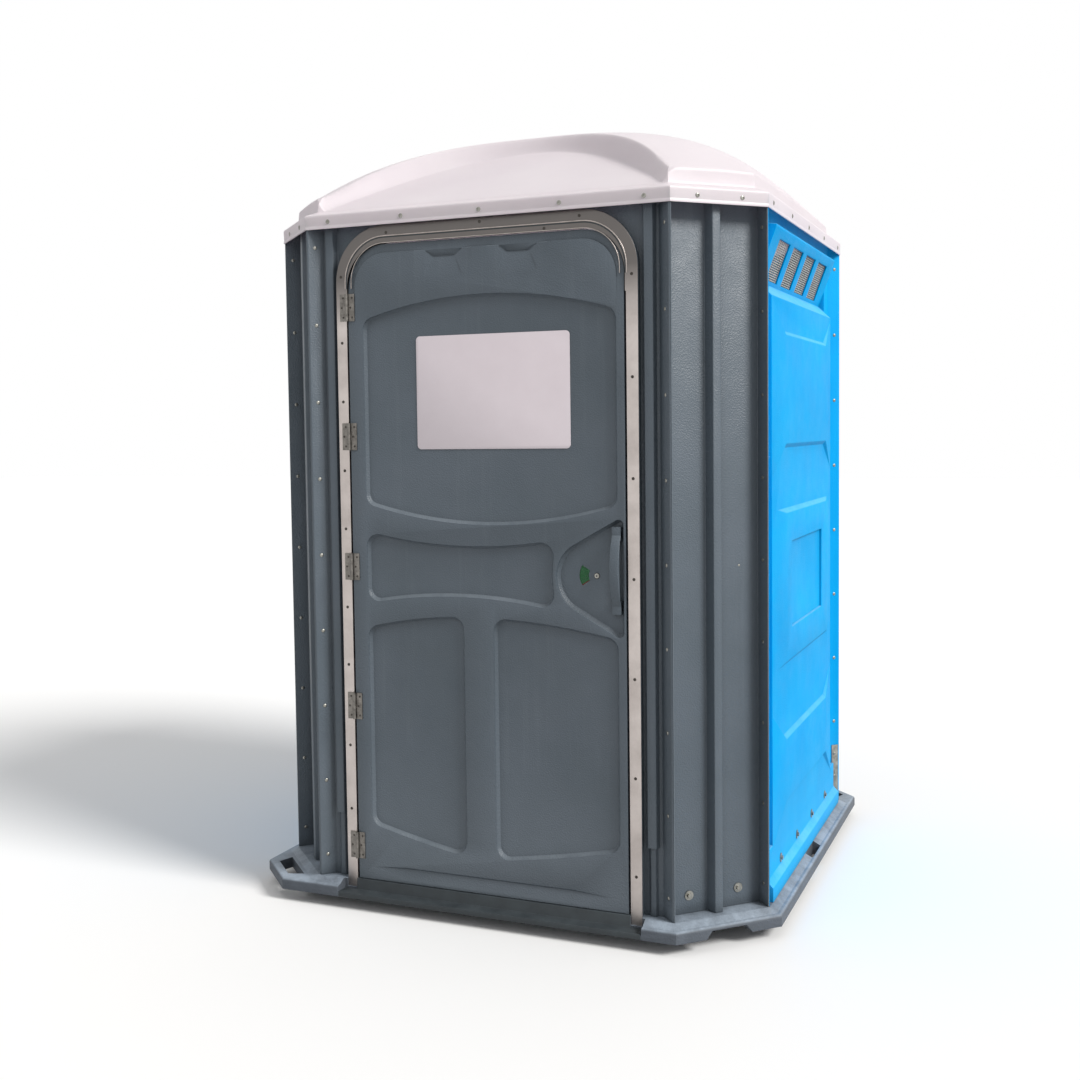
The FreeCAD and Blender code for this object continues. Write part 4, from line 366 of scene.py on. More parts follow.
def brushedMetal(name, values, paintedShade=None):
    # rolled, brushed or plated metal: a fine grain, drawn out along one way where its scales
    # differ, dull patches, and where asked a painted shade that darkens it from a height up
    material, tree, shader, place, _ = newMaterial(name)
    lines = addNode(tree, "Mapping", {"Scale": values["lines"]}, {"Vector": place})
    brush = addNode(tree, "TexNoise", {"Scale": 1, "Detail": 3, "Roughness": 0.6},
                    {"Vector": lines.outputs[0]})
    patch = addNode(tree, "TexNoise", {"Scale": values["patches"], "Detail": 5, "Roughness": 0.65},
                    {"Vector": place})
    tone = twoTone(tree, values, 0.32, patch)
    colour = tone.outputs[0]
    # painted shade: from a height up the colour darkens towards a shade colour, for the shadow of the
    # roof's overhang
    if paintedShade:
        split = addNode(tree, "SeparateXYZ", None, {0: place})
        high = addNode(tree, "MapRange", {"From Min": paintedShade["foot"], "From Max": paintedShade["full"],
                                          "To Min": 0, "To Max": paintedShade["share"]},
                       {"Value": split.outputs[2]})
        shadedColour = addNode(tree, "Mix", {"data_type": "RGBA", 7: linear(paintedShade["colour"])},
                         {0: high.outputs[0], 6: colour})
        colour = shadedColour.outputs[2]
    tree.links.new(colour, shader.inputs["Base Color"])
    shader.inputs["Metallic"].default_value = 1.0
    rough = addNode(tree, "MapRange", {"From Min": 0.3, "From Max": 0.7,
                                       "To Min": values["rough"] - 0.07,
                                       "To Max": values["rough"] + 0.09}, {"Value": patch.outputs[0]})
    tree.links.new(rough.outputs[0], shader.inputs["Roughness"])
    bump = addNode(tree, "Bump", {"Strength": values["bump"], "Distance": 0.0004},
                   {"Height": brush.outputs[0]})
    tree.links.new(bump.outputs[0], shader.inputs["Normal"])
    return material


# painted shade: the frame's head lies in the shadow of the roof's overhang and is painted darker,
# from foot to full in metres
headShade = {"foot": 1.7, "full": 1.84, "share": 0.9, "colour": "#5c5957"}
frameAluminium = brushedMetal("mill_finish_aluminium", {
    "colour": "#c9c1bd", "deep": "#aea6a2", "lines": (900, 900, 18), "patches": 9, "rough": 0.4,
    "bump": 0.25}, headShade)
beadAluminium = brushedMetal("rubbed_aluminium_edge", {
    "colour": "#bdb4af", "deep": "#9c948f", "lines": (900, 900, 18), "patches": 30, "rough": 0.36,
    "bump": 0.1})
zincSteel = brushedMetal("zinc_plated_steel", {
    "colour": "#a8a7a1", "deep": "#7b7a73", "lines": (500, 500, 500), "patches": 60, "rough": 0.38,
    "bump": 0.12})
hingeSteel = brushedMetal("weathered_rolled_steel", {
    "colour": "#8b8782", "deep": "#5f5c58", "lines": (500, 500, 500), "patches": 70, "rough": 0.45,
    "bump": 0.2})
screwSteel = brushedMetal("oiled_steel_screw", {
    "colour": "#55514d", "deep": "#3c3936", "lines": (500, 500, 500), "patches": 80, "rough": 0.42,
    "bump": 0.1})
railSteel = brushedMetal("brushed_stainless_steel", {
    "colour": "#c8c8c6", "deep": "#b4b4b2", "lines": (30, 900, 900), "patches": 14, "rough": 0.3,
    "bump": 0.15})


def plainSurface(name, values):
    # a smooth moulded or painted surface with faint clouding and a fine grain
    material, tree, shader, place, _ = newMaterial(name)
    cloud = addNode(tree, "TexNoise", {"Scale": values["clouds"], "Detail": 5, "Roughness": 0.6},
                    {"Vector": place})
    tone = twoTone(tree, values, 0.32, cloud)
    tree.links.new(tone.outputs[0], shader.inputs["Base Color"])
    rough = addNode(tree, "MapRange", {"From Min": 0.3, "From Max": 0.7,
                                       "To Min": values["rough"] - 0.05,
                                       "To Max": values["rough"] + 0.08}, {"Value": cloud.outputs[0]})
    tree.links.new(rough.outputs[0], shader.inputs["Roughness"])
    grain = addNode(tree, "TexNoise", {"Scale": values["grain"], "Detail": 2}, {"Vector": place})
    bump = addNode(tree, "Bump", {"Strength": values["bump"], "Distance": 0.0005},
                   {"Height": grain.outputs[0]})
    tree.links.new(bump.outputs[0], shader.inputs["Normal"])
    shader.inputs["Metallic"].default_value = values.get("metallic", 0)
    return material


darkRubber = plainSurface("ribbed_dark_rubber", {
    "colour": "#3a4145", "deep": "#2c3236", "clouds": 18, "rough": 0.62, "grain": 500, "bump": 0.5})
plateWhite = plainSurface("brushed_off_white_sheet", {
    "colour": "#efe5eb", "deep": "#e6dbe1", "clouds": 3, "rough": 0.38, "grain": 700, "bump": 0.1,
    "metallic": 0.1})
blackPlastic = plainSurface("black_moulded_nylon", {
    "colour": "#26282a", "deep": "#1d1f21", "clouds": 40, "rough": 0.45, "grain": 900, "bump": 0.3})
seatPlastic = plainSurface("black_seat_polypropylene", {
    "colour": "#2a2c2f", "deep": "#222427", "clouds": 12, "rough": 0.28, "grain": 800, "bump": 0.08})
pipePlastic = plainSurface("dark_pipe_plastic", {
    "colour": "#3a3d40", "deep": "#303336", "clouds": 10, "rough": 0.36, "grain": 600, "bump": 0.1})
paperWhite = plainSurface("soft_tissue_paper", {
    "colour": "#efece7", "deep": "#e4e0da", "clouds": 60, "rough": 0.9, "grain": 1200, "bump": 0.6})
screenMetal = plainSurface("woven_screen_metal", {
    "colour": "#d2d2ce", "deep": "#b0b0ac", "clouds": 40, "rough": 0.5, "grain": 900, "bump": 0.5,
    "metallic": 0.3})


def windowSheet():
    # clear polycarbonate, a little worn: the disc shows through under a faint shine
    material, tree, shader, place, output = newMaterial("clear_polycarbonate")
    shader.inputs["Base Color"].default_value = linear("#8a9a92")
    shader.inputs["IOR"].default_value = 1.45
    grain = addNode(tree, "TexNoise", {"Scale": 300, "Detail": 3}, {"Vector": place})
    rough = addNode(tree, "MapRange", {"To Min": 0.1, "To Max": 0.25}, {"Value": grain.outputs[0]})
    tree.links.new(rough.outputs[0], shader.inputs["Roughness"])
    clear = addNode(tree, "BsdfTransparent", {"Color": linear("#e6f2ea")})
    both = addNode(tree, "MixShader", {0: 0.9}, {1: shader.outputs[0], 2: clear.outputs[0]})
    tree.links.new(both.outputs[0], output.inputs["Surface"])
    return material


windowClear = windowSheet()

# where the spindle stands (millimetres) and the green sector's ends (radians)
disc = {"middle": (331, 0, 1005), "green": "#017a3c", "red": "#c01f2a", "from": -0.5, "to": 0.8}


def discSheet():
    # printed plastic disc: the sector behind the window at rest is green, the rest is red
    material, tree, shader, place, _ = newMaterial("printed_disc_plastic")
    centred = addNode(tree, "VectorMath", {"operation": "SUBTRACT", 1: point(*disc["middle"])},
                      {0: place})
    split = addNode(tree, "SeparateXYZ", None, {0: centred.outputs[0]})
    out = addNode(tree, "Math", {"operation": "MULTIPLY", 1: -1}, {0: split.outputs[0]})
    angle = addNode(tree, "Math", {"operation": "ARCTAN2"}, {0: split.outputs[2], 1: out.outputs[0]})
    above = addNode(tree, "Math", {"operation": "GREATER_THAN", 1: disc["from"]},
                    {0: angle.outputs[0]})
    under = addNode(tree, "Math", {"operation": "LESS_THAN", 1: disc["to"]}, {0: angle.outputs[0]})
    inside = addNode(tree, "Math", {"operation": "MULTIPLY"}, {0: above.outputs[0],
                                                               1: under.outputs[0]})
    tone = addNode(tree, "Mix", {"data_type": "RGBA", 6: linear(disc["red"]),
                                 7: linear(disc["green"])}, {0: inside.outputs[0]})
    cloud = addNode(tree, "TexNoise", {"Scale": 90, "Detail": 4}, {"Vector": place})
    shade = addNode(tree, "MapRange", {"To Min": 0.9, "To Max": 1.05}, {"Value": cloud.outputs[0]})
    worn = addNode(tree, "VectorMath", {"operation": "SCALE"},
                   {0: tone.outputs[2], "Scale": shade.outputs[0]})
    tree.links.new(worn.outputs[0], shader.inputs["Base Color"])
    shader.inputs["Roughness"].default_value = 0.42
    return material


discPlastic = discSheet()
print("materials made")

bySlot = {
    "grey_plastic": greyPlastic, "blue_plastic": bluePlastic, "roof_plastic": roofPlastic,
    "aluminium": frameAluminium, "zinc_steel": zincSteel, "dark_rubber": darkRubber,
    "white_plate": plateWhite, "window_pane": windowClear, "lock_disc": discPlastic,
    "black_plastic": blackPlastic, "tank_plastic": tankPlastic, "seat_plastic": seatPlastic,
    "screen_metal": screenMetal, "pipe_plastic": pipePlastic, "rail_steel": railSteel,
    "urinal_plastic": urinalPlastic, "paper": paperWhite}
slotOf = {part["node"]: part["material_slot"] for part in frame["record"]["subparts"]}
ownMaterial = {"base": basePlastic, "skid_left": basePlastic, "skid_middle": basePlastic,
               "skid_right": basePlastic, "hinge_frame_leaves": hingeSteel,
               "hinge_door_leaves": hingeSteel, "hinge_pins": hingeSteel}
for name, piece in nodes.items():
    material = ownMaterial.get(name) or bySlot[slotOf[name]]
    piece.data.materials.clear()
    piece.data.materials.append(material)
    choose(piece)
    bpy.ops.object.shade_smooth_by_angle(angle=math.radians(meshing["cadSmooth"]))
print("CAD nodes coloured:", len(slotOf))

# the photograph's own camera: place in metres, angles in degrees, lens and sensor in millimetres
view = {"place": (1.5466, -4.1100, 1.4093), "yaw": 22.7562, "pitch": -3.3832, "roll": -0.7178,
        "lens": 44.064, "sensor": 36, "shiftX": 0.00945, "shiftY": -0.0318, "far": 200}


def addCamera():
    yaw, pitch, roll = (math.radians(view[name]) for name in ("yaw", "pitch", "roll"))
    ahead = Vector((-math.sin(yaw) * math.cos(pitch), math.cos(yaw) * math.cos(pitch),
                    math.sin(pitch)))
    right = Vector((math.cos(yaw), math.sin(yaw), 0))
    up = right.cross(ahead)
    tiltedRight = math.cos(roll) * right + math.sin(roll) * up
    tiltedUp = -math.sin(roll) * right + math.cos(roll) * up
    camera = bpy.data.objects.new("photo_camera", bpy.data.cameras.new("photo_camera"))
    bpy.context.scene.collection.objects.link(camera)
    turn = Matrix((tiltedRight, tiltedUp, -ahead)).transposed().to_4x4()
    camera.matrix_world = Matrix.Translation(view["place"]) @ turn
    camera.data.lens = view["lens"]
    camera.data.sensor_width = view["sensor"]
    camera.data.shift_x = view["shiftX"]
    camera.data.shift_y = view["shiftY"]
    camera.data.clip_end = view["far"]
    bpy.context.scene.camera = camera


addCamera()

# where the sun stands, and how bright sky and floor are for the object and for the camera
light = {"sun": (0.75, -0.15, 0.6), "sunPower": 2.85, "sunAngle": 20,
         "sunColour": (1.0, 0.985, 0.96), "sky": (0.57, 1.0), "floor": (0.3, 0.94),
         "floorSize": 60}


def seenDirectly(tree):
    # 1 on rays from the camera, also off shiny faces and through clear ones, and 0 on the rest
    path = addNode(tree, "LightPath")
    seen = addNode(tree, "Math", {"operation": "ADD", "use_clamp": True},
                   {0: path.outputs["Is Camera Ray"], 1: path.outputs["Is Glossy Ray"]})
    return addNode(tree, "Math", {"operation": "ADD", "use_clamp": True},
                   {0: seen.outputs[0], 1: path.outputs["Is Transmission Ray"]})


def addLight():
    sun = bpy.data.objects.new("key_sun", bpy.data.lights.new("key_sun", "SUN"))
    bpy.context.scene.collection.objects.link(sun)
    sun.rotation_mode = "QUATERNION"
    sun.rotation_quaternion = Vector(light["sun"]).normalized().to_track_quat("Z", "Y")
    sun.data.energy = light["sunPower"]
    sun.data.angle = math.radians(light["sunAngle"])
    sun.data.color = light["sunColour"]
    world = bpy.data.worlds.new("studio_white")
    world.use_nodes = True
    tree = world.node_tree
    tree.nodes.clear()
    seen = seenDirectly(tree)
    power = addNode(tree, "MapRange", {"To Min": light["sky"][0], "To Max": light["sky"][1]},
                    {"Value": seen.outputs[0]})
    sky = addNode(tree, "Background", {"Color": (1, 1, 1, 1)}, {"Strength": power.outputs[0]})
    addNode(tree, "OutputWorld", None, {"Surface": sky.outputs[0]})
    bpy.context.scene.world = world
    bpy.context.scene.view_settings.view_transform = "Standard"


addLight()


def addFloor():
    deselectAll()
    bpy.ops.mesh.primitive_plane_add(size=light["floorSize"], location=(0, 0, 0))
    floor = bpy.context.object
    floor.name = "pale_floor"
    material, tree, shader, _, _ = newMaterial("pale_studio_floor")
    seen = seenDirectly(tree)
    tone = addNode(tree, "MapRange", {"To Min": light["floor"][0], "To Max": light["floor"][1]},
                   {"Value": seen.outputs[0]})
    tree.links.new(tone.outputs[0], shader.inputs["Base Color"])
    shader.inputs["Roughness"].default_value = 0.9
    shader.inputs["Specular IOR Level"].default_value = 0.1
    floor.data.materials.append(material)


addFloor()
print("camera, light and floor placed")

# from here on the lengths in dictionaries are millimetres and the angles degrees; the door's
# edges in front of roundedFrom are rounded, and those above head less than the others
door = {"edge": 5, "headEdge": 1.8, "head": 1840, "face": -762, "roundedFrom": -743.5,
        "angle": 24}
scoop = {"middles": (-113, 113), "half": 92, "foot": 1812, "top": 1893.6, "depth": 8.8,
         "columns": 46, "rows": 20, "fall": 2.4, "sides": 3, "fade": 1.2, "notchHalf": 33,
         "notchRise": 19.5, "notchRun": 27, "behind": 0.3, "block": 9}


def scoopCutter(middle):
    # a block whose back is the hollow under one notch of the door's head
    deselectAll()
    bpy.ops.mesh.primitive_grid_add(x_subdivisions=scoop["columns"], y_subdivisions=scoop["rows"],
                                    size=2, location=(0, 0, 0))
    cutter = bpy.context.object
    for vertex in cutter.data.vertices:
        across, up = vertex.co.x, (vertex.co.y + 1) / 2
        sink = scoop["depth"] * up ** scoop["fall"]
        sink *= (1 - abs(across) ** scoop["sides"]) ** scoop["fade"]
        beside = (abs(across) * scoop["half"] - scoop["notchHalf"]) / scoop["notchRun"]
        top = scoop["top"] + scoop["notchRise"] * min(1, max(0, beside))
        vertex.co = point(middle + across * scoop["half"], door["face"] + sink - scoop["behind"],
                          scoop["foot"] + up * (top - scoop["foot"]))
    choose(cutter)
    bpy.ops.object.mode_set(mode="EDIT")
    bpy.ops.mesh.select_all(action="SELECT")
    bpy.ops.mesh.extrude_region_move(TRANSFORM_OT_translate={"value": point(0, -scoop["block"], 0)})
    bpy.ops.mesh.select_all(action="SELECT")
    bpy.ops.mesh.normals_make_consistent(inside=False)
    leaveEdit()
    return cutter


def dressDoor():
    shell = copyOfNode("door_outer_shell", "door_outer_skin")
    face, head = mm(door["roundedFrom"]), mm(door["head"])
    roundEdges(shell, door["edge"], 3, door["angle"], lambda p: p.y < face and p.z < head)
    roundEdges(shell, door["headEdge"], 2, door["angle"], lambda p: p.y < face and p.z > head)
    for middle in scoop["middles"]:
        cutter = scoopCutter(middle)
        hollow = shell.modifiers.new("scoop", "BOOLEAN")
        hollow.operation = "DIFFERENCE"
        hollow.solver = "MANIFOLD"
        hollow.object = cutter
        choose(shell)
        bpy.ops.object.modifier_apply(modifier=hollow.name)
        bpy.data.objects.remove(cutter)
    finishMesh(shell)
    fitted(shell, "door", "grey_plastic", greyPlastic, "door_outer_shell")


dressDoor()

front = {"edge": 3, "cornerEdge": 2.6, "roundedFrom": -730, "angle": 24}


def dressFront():
    dressNode("front_panel", "front_wall_skin", "cabin", "grey_plastic", greyPlastic,
              (front["edge"], 2, front["angle"], lambda p: p.y < mm(front["roundedFrom"])))
    for corner in ("front_left", "front_right", "rear_left", "rear_right"):
        dressNode("corner_panel_" + corner, "corner_skin_" + corner, "cabin", "grey_plastic",
                  greyPlastic, (front["cornerEdge"], 2, front["angle"]))


dressFront()

# pads and channels are rounder than the borders beside the flanges
wall = {"padEdge": 6, "padAngle": 14, "padReach": 470, "borderEdge": 1.6, "borderAngle": 24}


def dressWalls():
    reach = mm(wall["padReach"])
    for node, along in (("side_panel_left", 1), ("side_panel_right", 1), ("rear_panel", 0)):
        dressNode(node, node.replace("panel", "skin"), "cabin", "blue_plastic", bluePlastic,
                  (wall["padEdge"], 3, wall["padAngle"], lambda p: abs(p[along]) < reach),
                  (wall["borderEdge"], 2, wall["borderAngle"], lambda p: abs(p[along]) >= reach))


dressWalls()

# the roof is one thin sheet: a pillowed dome, a visor sunk in its front behind a bowed band,
# a step, a sloping ledge and a skirt; a ring is how far out it runs and, at the shoulder, its
# share of the height above the ledge or, at the skirt, its height
roof = {"halfWidth": 760, "halfDepth": 770, "diagonal": 933.4, "domeFoot": 2090, "domeRise": 220,
        "domeInset": 43, "powerX": 3.06, "powerY": 2.76, "powerCorner": 13.8, "shoulder": 0.872,
        "ledge": 2044, "visorHalf": 532.2, "visorFront": -731, "visorDepth": 364,
        "visorLean": 0.5346, "bandFront": -14, "bandBack": 12, "bandHalf": 18, "bandMargin": 30,
        "gridInset": 48, "columns": 144, "cornerColumns": 12, "frontRows": 30, "bandRows": 16,
        "backRows": 54, "skin": 3, "smooth": 34,
        "shoulderRings": ((-46, 0.965), (-44.3, 0.91), (-43.3, 0.84), (-42.9, 0.76),
                          (-40.2, 0.16), (-39.4, 0.07), (-37.6, 0.02), (-34, 0)),
        "skirtRings": ((-8, 2034.8), (-3, 2033.2), (0.4, 2031.6), (2.1, 2029), (2.8, 2025),
                       (1.6, 2001), (1.6, 1998.5), (2.9, 1996.5), (2.9, 1990.3), (-0.4, 1990.3))}


def octagonAt(offset):
    # half width, half depth, and where the straight front and the straight sides end
    a, b = roof["halfWidth"] + offset, roof["halfDepth"] + offset
    reach = (roof["diagonal"] + offset) * math.sqrt(2)
    return a, b, reach - b, reach - a


def ringSpot(x, y, offsetNow, offsetNext):
    # the same place on another ring of the octagon
    a, b, frontTip, sideTip = octagonAt(offsetNow)
    a2, b2, frontTip2, sideTip2 = octagonAt(offsetNext)
    ax, ay = abs(x), abs(y)
    gaps = (a - ax, b - ay, (frontTip + b - ax - ay) / math.sqrt(2))
    side = gaps.index(min(gaps))
    if side == 0:
        nx, ny = a2, ay / sideTip * sideTip2
    elif side == 1:
        nx, ny = ax / frontTip * frontTip2, b2
    else:
        share = (ax - frontTip) / (a - frontTip)
        nx = frontTip2 + share * (a2 - frontTip2)
        ny = b2 + share * (sideTip2 - b2)
    return math.copysign(nx, x), math.copysign(ny, y)


def visorEdge(x):
    # the bowed back edge of the visor
    return roof["visorFront"] + roof["visorDepth"] * (1 - (x / roof["visorHalf"]) ** 2)


def visorStretch(x):
    # how many times deeper the band measures where its edge runs slanting
    return math.sqrt(1 + (2 * roof["visorDepth"] * x / roof["visorHalf"] ** 2) ** 2)


def roofHeight(x, y):
    # the dome, stepping down to the leaning visor in front of the band
    a, b, frontTip, _ = octagonAt(-roof["domeInset"])
    shares = (1 - (abs(x) / a) ** roof["powerX"], 1 - (abs(y) / b) ** roof["powerY"],
              1 - ((abs(x) + abs(y)) / (frontTip + b)) ** roof["powerCorner"])
    share = max(0, shares[0]) * max(0, shares[1]) * max(0, shares[2])
    dome = roof["domeFoot"] + roof["domeRise"] * share ** roof["shoulder"]
    ahead = (visorEdge(x) - y) / visorStretch(x)
    step = min(1, max(0, (ahead - roof["bandFront"]) / (roof["bandBack"] - roof["bandFront"])))
    step = step * step * (3 - 2 * step)
    visor = roof["ledge"] + roof["visorLean"] * (y - roof["visorFront"])
    return dome + step * (min(visor, dome) - dome)


def roofRows(x):
    # places across the depth at one column, close together at the band
    _, b, frontTip, _ = octagonAt(-roof["gridInset"])
    far = min(b, frontTip + b - abs(x))
    half = roof["bandHalf"] * visorStretch(x)
    middle = max(visorEdge(x), -far + roof["bandMargin"] + half)
    rows = []
    for low, high, count in ((-far, middle - half, roof["frontRows"]),
                             (middle - half, middle + half, roof["bandRows"]),
                             (middle + half, far, roof["backRows"])):
        rows += [low + (high - low) * i / count for i in range(count)]
    return rows + [far]


def roofColumns():
    # places across the width, with the octagon's slanting corners in columns of their own
    a, _, frontTip, _ = octagonAt(-roof["gridInset"])
    corner = roof["cornerColumns"]
    middle = roof["columns"] - 2 * corner
    outer = [-a + (a - frontTip) * i / corner for i in range(corner)]
    inner = [-frontTip + 2 * frontTip * i / middle for i in range(middle + 1)]
    return outer + inner + [-x for x in reversed(outer)]


def dressRoof():
    deselectAll()
    rowCount = roof["frontRows"] + roof["bandRows"] + roof["backRows"]
    bpy.ops.mesh.primitive_grid_add(x_subdivisions=roof["columns"], y_subdivisions=rowCount,
                                    size=2, location=(0, 0, 0))
    cover = bpy.context.object
    cover.name = cover.data.name = "roof_cover"
    columns = roofColumns()
    rows = [roofRows(x) for x in columns]
    for vertex in cover.data.vertices:
        i = round((vertex.co.x + 1) / 2 * roof["columns"])
        j = round((vertex.co.y + 1) / 2 * rowCount)
        x, y = columns[i], rows[i][j]
        vertex.co = point(x, y, roofHeight(x, y))
    selectWhere(cover, "edges", lambda edge: len(edge.link_faces) == 1)
    offset = -roof["gridInset"]
    rings = [(out, share, None) for out, share in roof["shoulderRings"]]
    rings += [(out, None, level) for out, level in roof["skirtRings"]]
    for out, share, level in rings:
        bpy.ops.mesh.extrude_edges_move()
        mesh = bmesh.from_edit_mesh(cover.data)
        for vertex in mesh.verts:
            if vertex.select:
                x, y = vertex.co.x * 1000, vertex.co.y * 1000
                nx, ny = ringSpot(x, y, offset, out)
                z = level
                if level is None:
                    gx, gy = ringSpot(x, y, offset, -roof["gridInset"])
                    z = roof["ledge"] + share * (roofHeight(gx, gy) - roof["ledge"])
                vertex.co = point(nx, ny, z)
        bmesh.update_edit_mesh(cover.data)
        offset = out
    bpy.ops.mesh.select_all(action="SELECT")
    bpy.ops.mesh.normals_make_consistent(inside=False)
    leaveEdit()
    thick = cover.modifiers.new("skin", "SOLIDIFY")
    thick.thickness = mm(roof["skin"])
    thick.offset = -1
    choose(cover)
    bpy.ops.object.modifier_apply(modifier=thick.name)
    finishMesh(cover, roof["smooth"])
    fitted(cover, "cabin", "roof_plastic", roofPlastic, "roof")


dressRoof()
print("roof made")

skid = {"edge": 5, "angle": 24, "roundedTo": 80.5, "curbEdge": 2.5, "curbAngle": 40,
        "curbFrom": 160, "runnerEdge": 4, "runnerAngle": 20}


def dressBase():
    dressNode("base", "skid_tray", "cabin", "grey_plastic", basePlastic,
              (skid["edge"], 3, skid["angle"], lambda p: p.z < mm(skid["roundedTo"])),
              (skid["curbEdge"], 2, skid["curbAngle"], lambda p: p.z > mm(skid["curbFrom"])))
    for node in ("skid_left", "skid_middle", "skid_right"):
        dressNode(node, node + "_runner", "cabin", "grey_plastic", basePlastic,
                  (skid["runnerEdge"], 2, skid["runnerAngle"]))


dressBase()

# pieces whose solid only lacks its moulded or rolled edges: body, material, width of the edge,
# segments round it and least angle of an edge that is rounded
softened = {
    "door_frame": ("cabin", frameAluminium, 1.1, 2, 24),
    "door_pull": ("door", greyPlastic, 2.4, 3, 24),
    "inner_pull": ("door", blackPlastic, 4, 3, 24),
    "door_inner_shell": ("door", greyPlastic, 3, 3, 24),
    "sign_plate": ("door", plateWhite, 0.6, 2, 24),
    "door_sill": ("cabin", darkRubber, 1, 2, 24),
    "waste_tank": ("cabin", tankPlastic, 5, 3, 24),
    "tank_deck": ("cabin", tankPlastic, 2, 3, 24),
    "seat_ring": ("cabin", seatPlastic, 3, 3, 24),
    "seat_lid": ("lid", seatPlastic, 2.5, 3, 24),
    "lid_hinge_posts": ("cabin", blackPlastic, 2, 2, 24),
    "urinal": ("cabin", urinalPlastic, 2.2, 3, 20),
    "paper_holder": ("cabin", blackPlastic, 1.2, 2, 24),
    "paper_roll_front": ("roll_front", paperWhite, 2, 2, 40),
    "paper_roll_back": ("roll_back", paperWhite, 2, 2, 40),
    "bolt_arm": ("lock", zincSteel, 1.4, 2, 24),
    "latch_keeper": ("cabin", zincSteel, 0.8, 2, 24),
    "pipe_clamp": ("cabin", zincSteel, 1.5, 2, 24),
    "coat_hook": ("cabin", railSteel, 1, 2, 30),
    "rear_brackets": ("cabin", zincSteel, 0.5, 2, 24)}


def softenEdges():
    for node, (body, material, *rounding) in softened.items():
        dressNode(node, node + "_finished", body, slotOf[node], material, rounding)


softenEdges()

arch = {"half": 426, "top": 1958, "corner": 125, "foot": 1815, "sides": 8, "steps": 14,
        "smooth": 60}
# bead lines of the frame, and in its groove a rubber seal line, dark also as painted shade of
# the gap: radius, shift outwards, place across the depth, material and slot
archLines = {"frame_bead": (1.7, 1.5, -762, beadAluminium, "aluminium"),
             "frame_groove": (1.9, -2.6, -761.2, darkRubber, "dark_rubber"),
             "frame_lip_bead": (1.3, -18, -762, beadAluminium, "aluminium")}


def sweepArch(name, radius, shift, y, material, slotName):
    # a round line run over the head of the doorway: up, round, across, round and down
    half, top = mm(arch["half"] + shift), mm(arch["top"] + shift)
    corner, foot = mm(arch["corner"] + shift), mm(arch["foot"])
    deselectAll()
    bpy.ops.mesh.primitive_circle_add(vertices=arch["sides"], radius=mm(radius),
                                      location=(-half, mm(y), foot))
    line = bpy.context.object
    bpy.ops.object.transform_apply(location=True, rotation=True, scale=True)
    bpy.ops.object.mode_set(mode="EDIT")
    bpy.ops.mesh.select_all(action="SELECT")
    rise = top - corner - foot
    turn = {"steps": arch["steps"], "angle": -math.pi / 2, "axis": (0, 1, 0)}
    bpy.ops.mesh.extrude_edges_move(TRANSFORM_OT_translate={"value": (0, 0, rise)})
    bpy.ops.mesh.spin(center=(corner - half, mm(y), top - corner), **turn)
    bpy.ops.mesh.extrude_edges_move(TRANSFORM_OT_translate={"value": (2 * (half - corner), 0, 0)})
    bpy.ops.mesh.spin(center=(half - corner, mm(y), top - corner), **turn)
    bpy.ops.mesh.extrude_edges_move(TRANSFORM_OT_translate={"value": (0, 0, -rise)})
    bpy.ops.mesh.select_all(action="SELECT")
    bpy.ops.mesh.remove_doubles(threshold=mm(meshing["merge"]))
    bpy.ops.mesh.fill_holes(sides=arch["sides"])
    bpy.ops.mesh.normals_make_consistent(inside=False)
    leaveEdit()
    line.name = line.data.name = name
    finishMesh(line, arch["smooth"])
    fitted(line, "cabin", slotName, material)


for name, values in archLines.items():
    sweepArch(name, *values)
print("shells and panels rounded, frame lines added")

# heads of screws and rivets: radius and height
heads = {"rivet": (5.4, 3), "skirtScrew": (6.6, 3), "stripScrew": (4.4, 1.3),
         "hingeScrew": (3.1, 1.1), "bracketBolt": (6, 4.2), "wallPin": (3.4, 2.2),
         "spindleCap": (5.4, 1.4), "spindleSocket": (2.5, 0.7), "spindleWasher": (8.6, 1.6)}
# how a head rises: the barrel's share of its height, then steps as shares of radius and height
headShape = {"sides": 10, "barrel": 0.55, "shoulder": (0.22, 0.3), "crown": (0.28, 0.15),
             "socket": (0.06, -0.55), "smooth": 50}


def headPattern(name, socket):
    radius, height = (mm(value) for value in heads[name])
    barrel = height * headShape["barrel"]
    deselectAll()
    bpy.ops.mesh.primitive_cylinder_add(vertices=headShape["sides"], radius=radius, depth=barrel,
                                        location=(0, 0, barrel / 2))
    head = bpy.context.object
    selectWhere(head, "faces", lambda face: face.normal.z > 0.9)
    steps = ("shoulder", "crown", "socket") if socket else ("shoulder", "crown")
    for step in steps:
        inset, rise = headShape[step]
        bpy.ops.mesh.inset(thickness=radius * inset, depth=height * rise)
    leaveEdit()
    return head


def addHeads(name, kind, socket, places, body="cabin", material=zincSteel):
    pattern = headPattern(kind, socket)
    joined = layCopies(pattern, name, places)
    bpy.data.objects.remove(pattern)
    finishMesh(joined, headShape["smooth"])
    fitted(joined, body, "zinc_steel", material)


seam = {"foot": 140, "pitch": 225, "rows": 9, "corner": (533, 753), "side": (743, 543), "half": 2.8}


def addRivets():
    # through both flanges of every upright seam, a head on each side
    places = []
    for row in range(seam["rows"]):
        z = seam["foot"] + row * seam["pitch"]
        for sx in (-1, 1):
            for sy in (-1, 1):
                for x, y in (seam["corner"], seam["side"]):
                    for turn in (-1, 1):
                        out = seam["half"] * turn
                        places.append((point(sx * (x + out), sy * (y - out), z),
                                       (sx * turn, -sy * turn, 0)))
    addHeads("seam_rivets", "rivet", False, places)


addRivets()

skirt = {"height": 2010, "front": (-476, -238, 4, 242, 480), "side": (-500, -250, 0, 254, 510),
         "corner": (655, 665), "cornerHalf": 68, "out": 1.8}


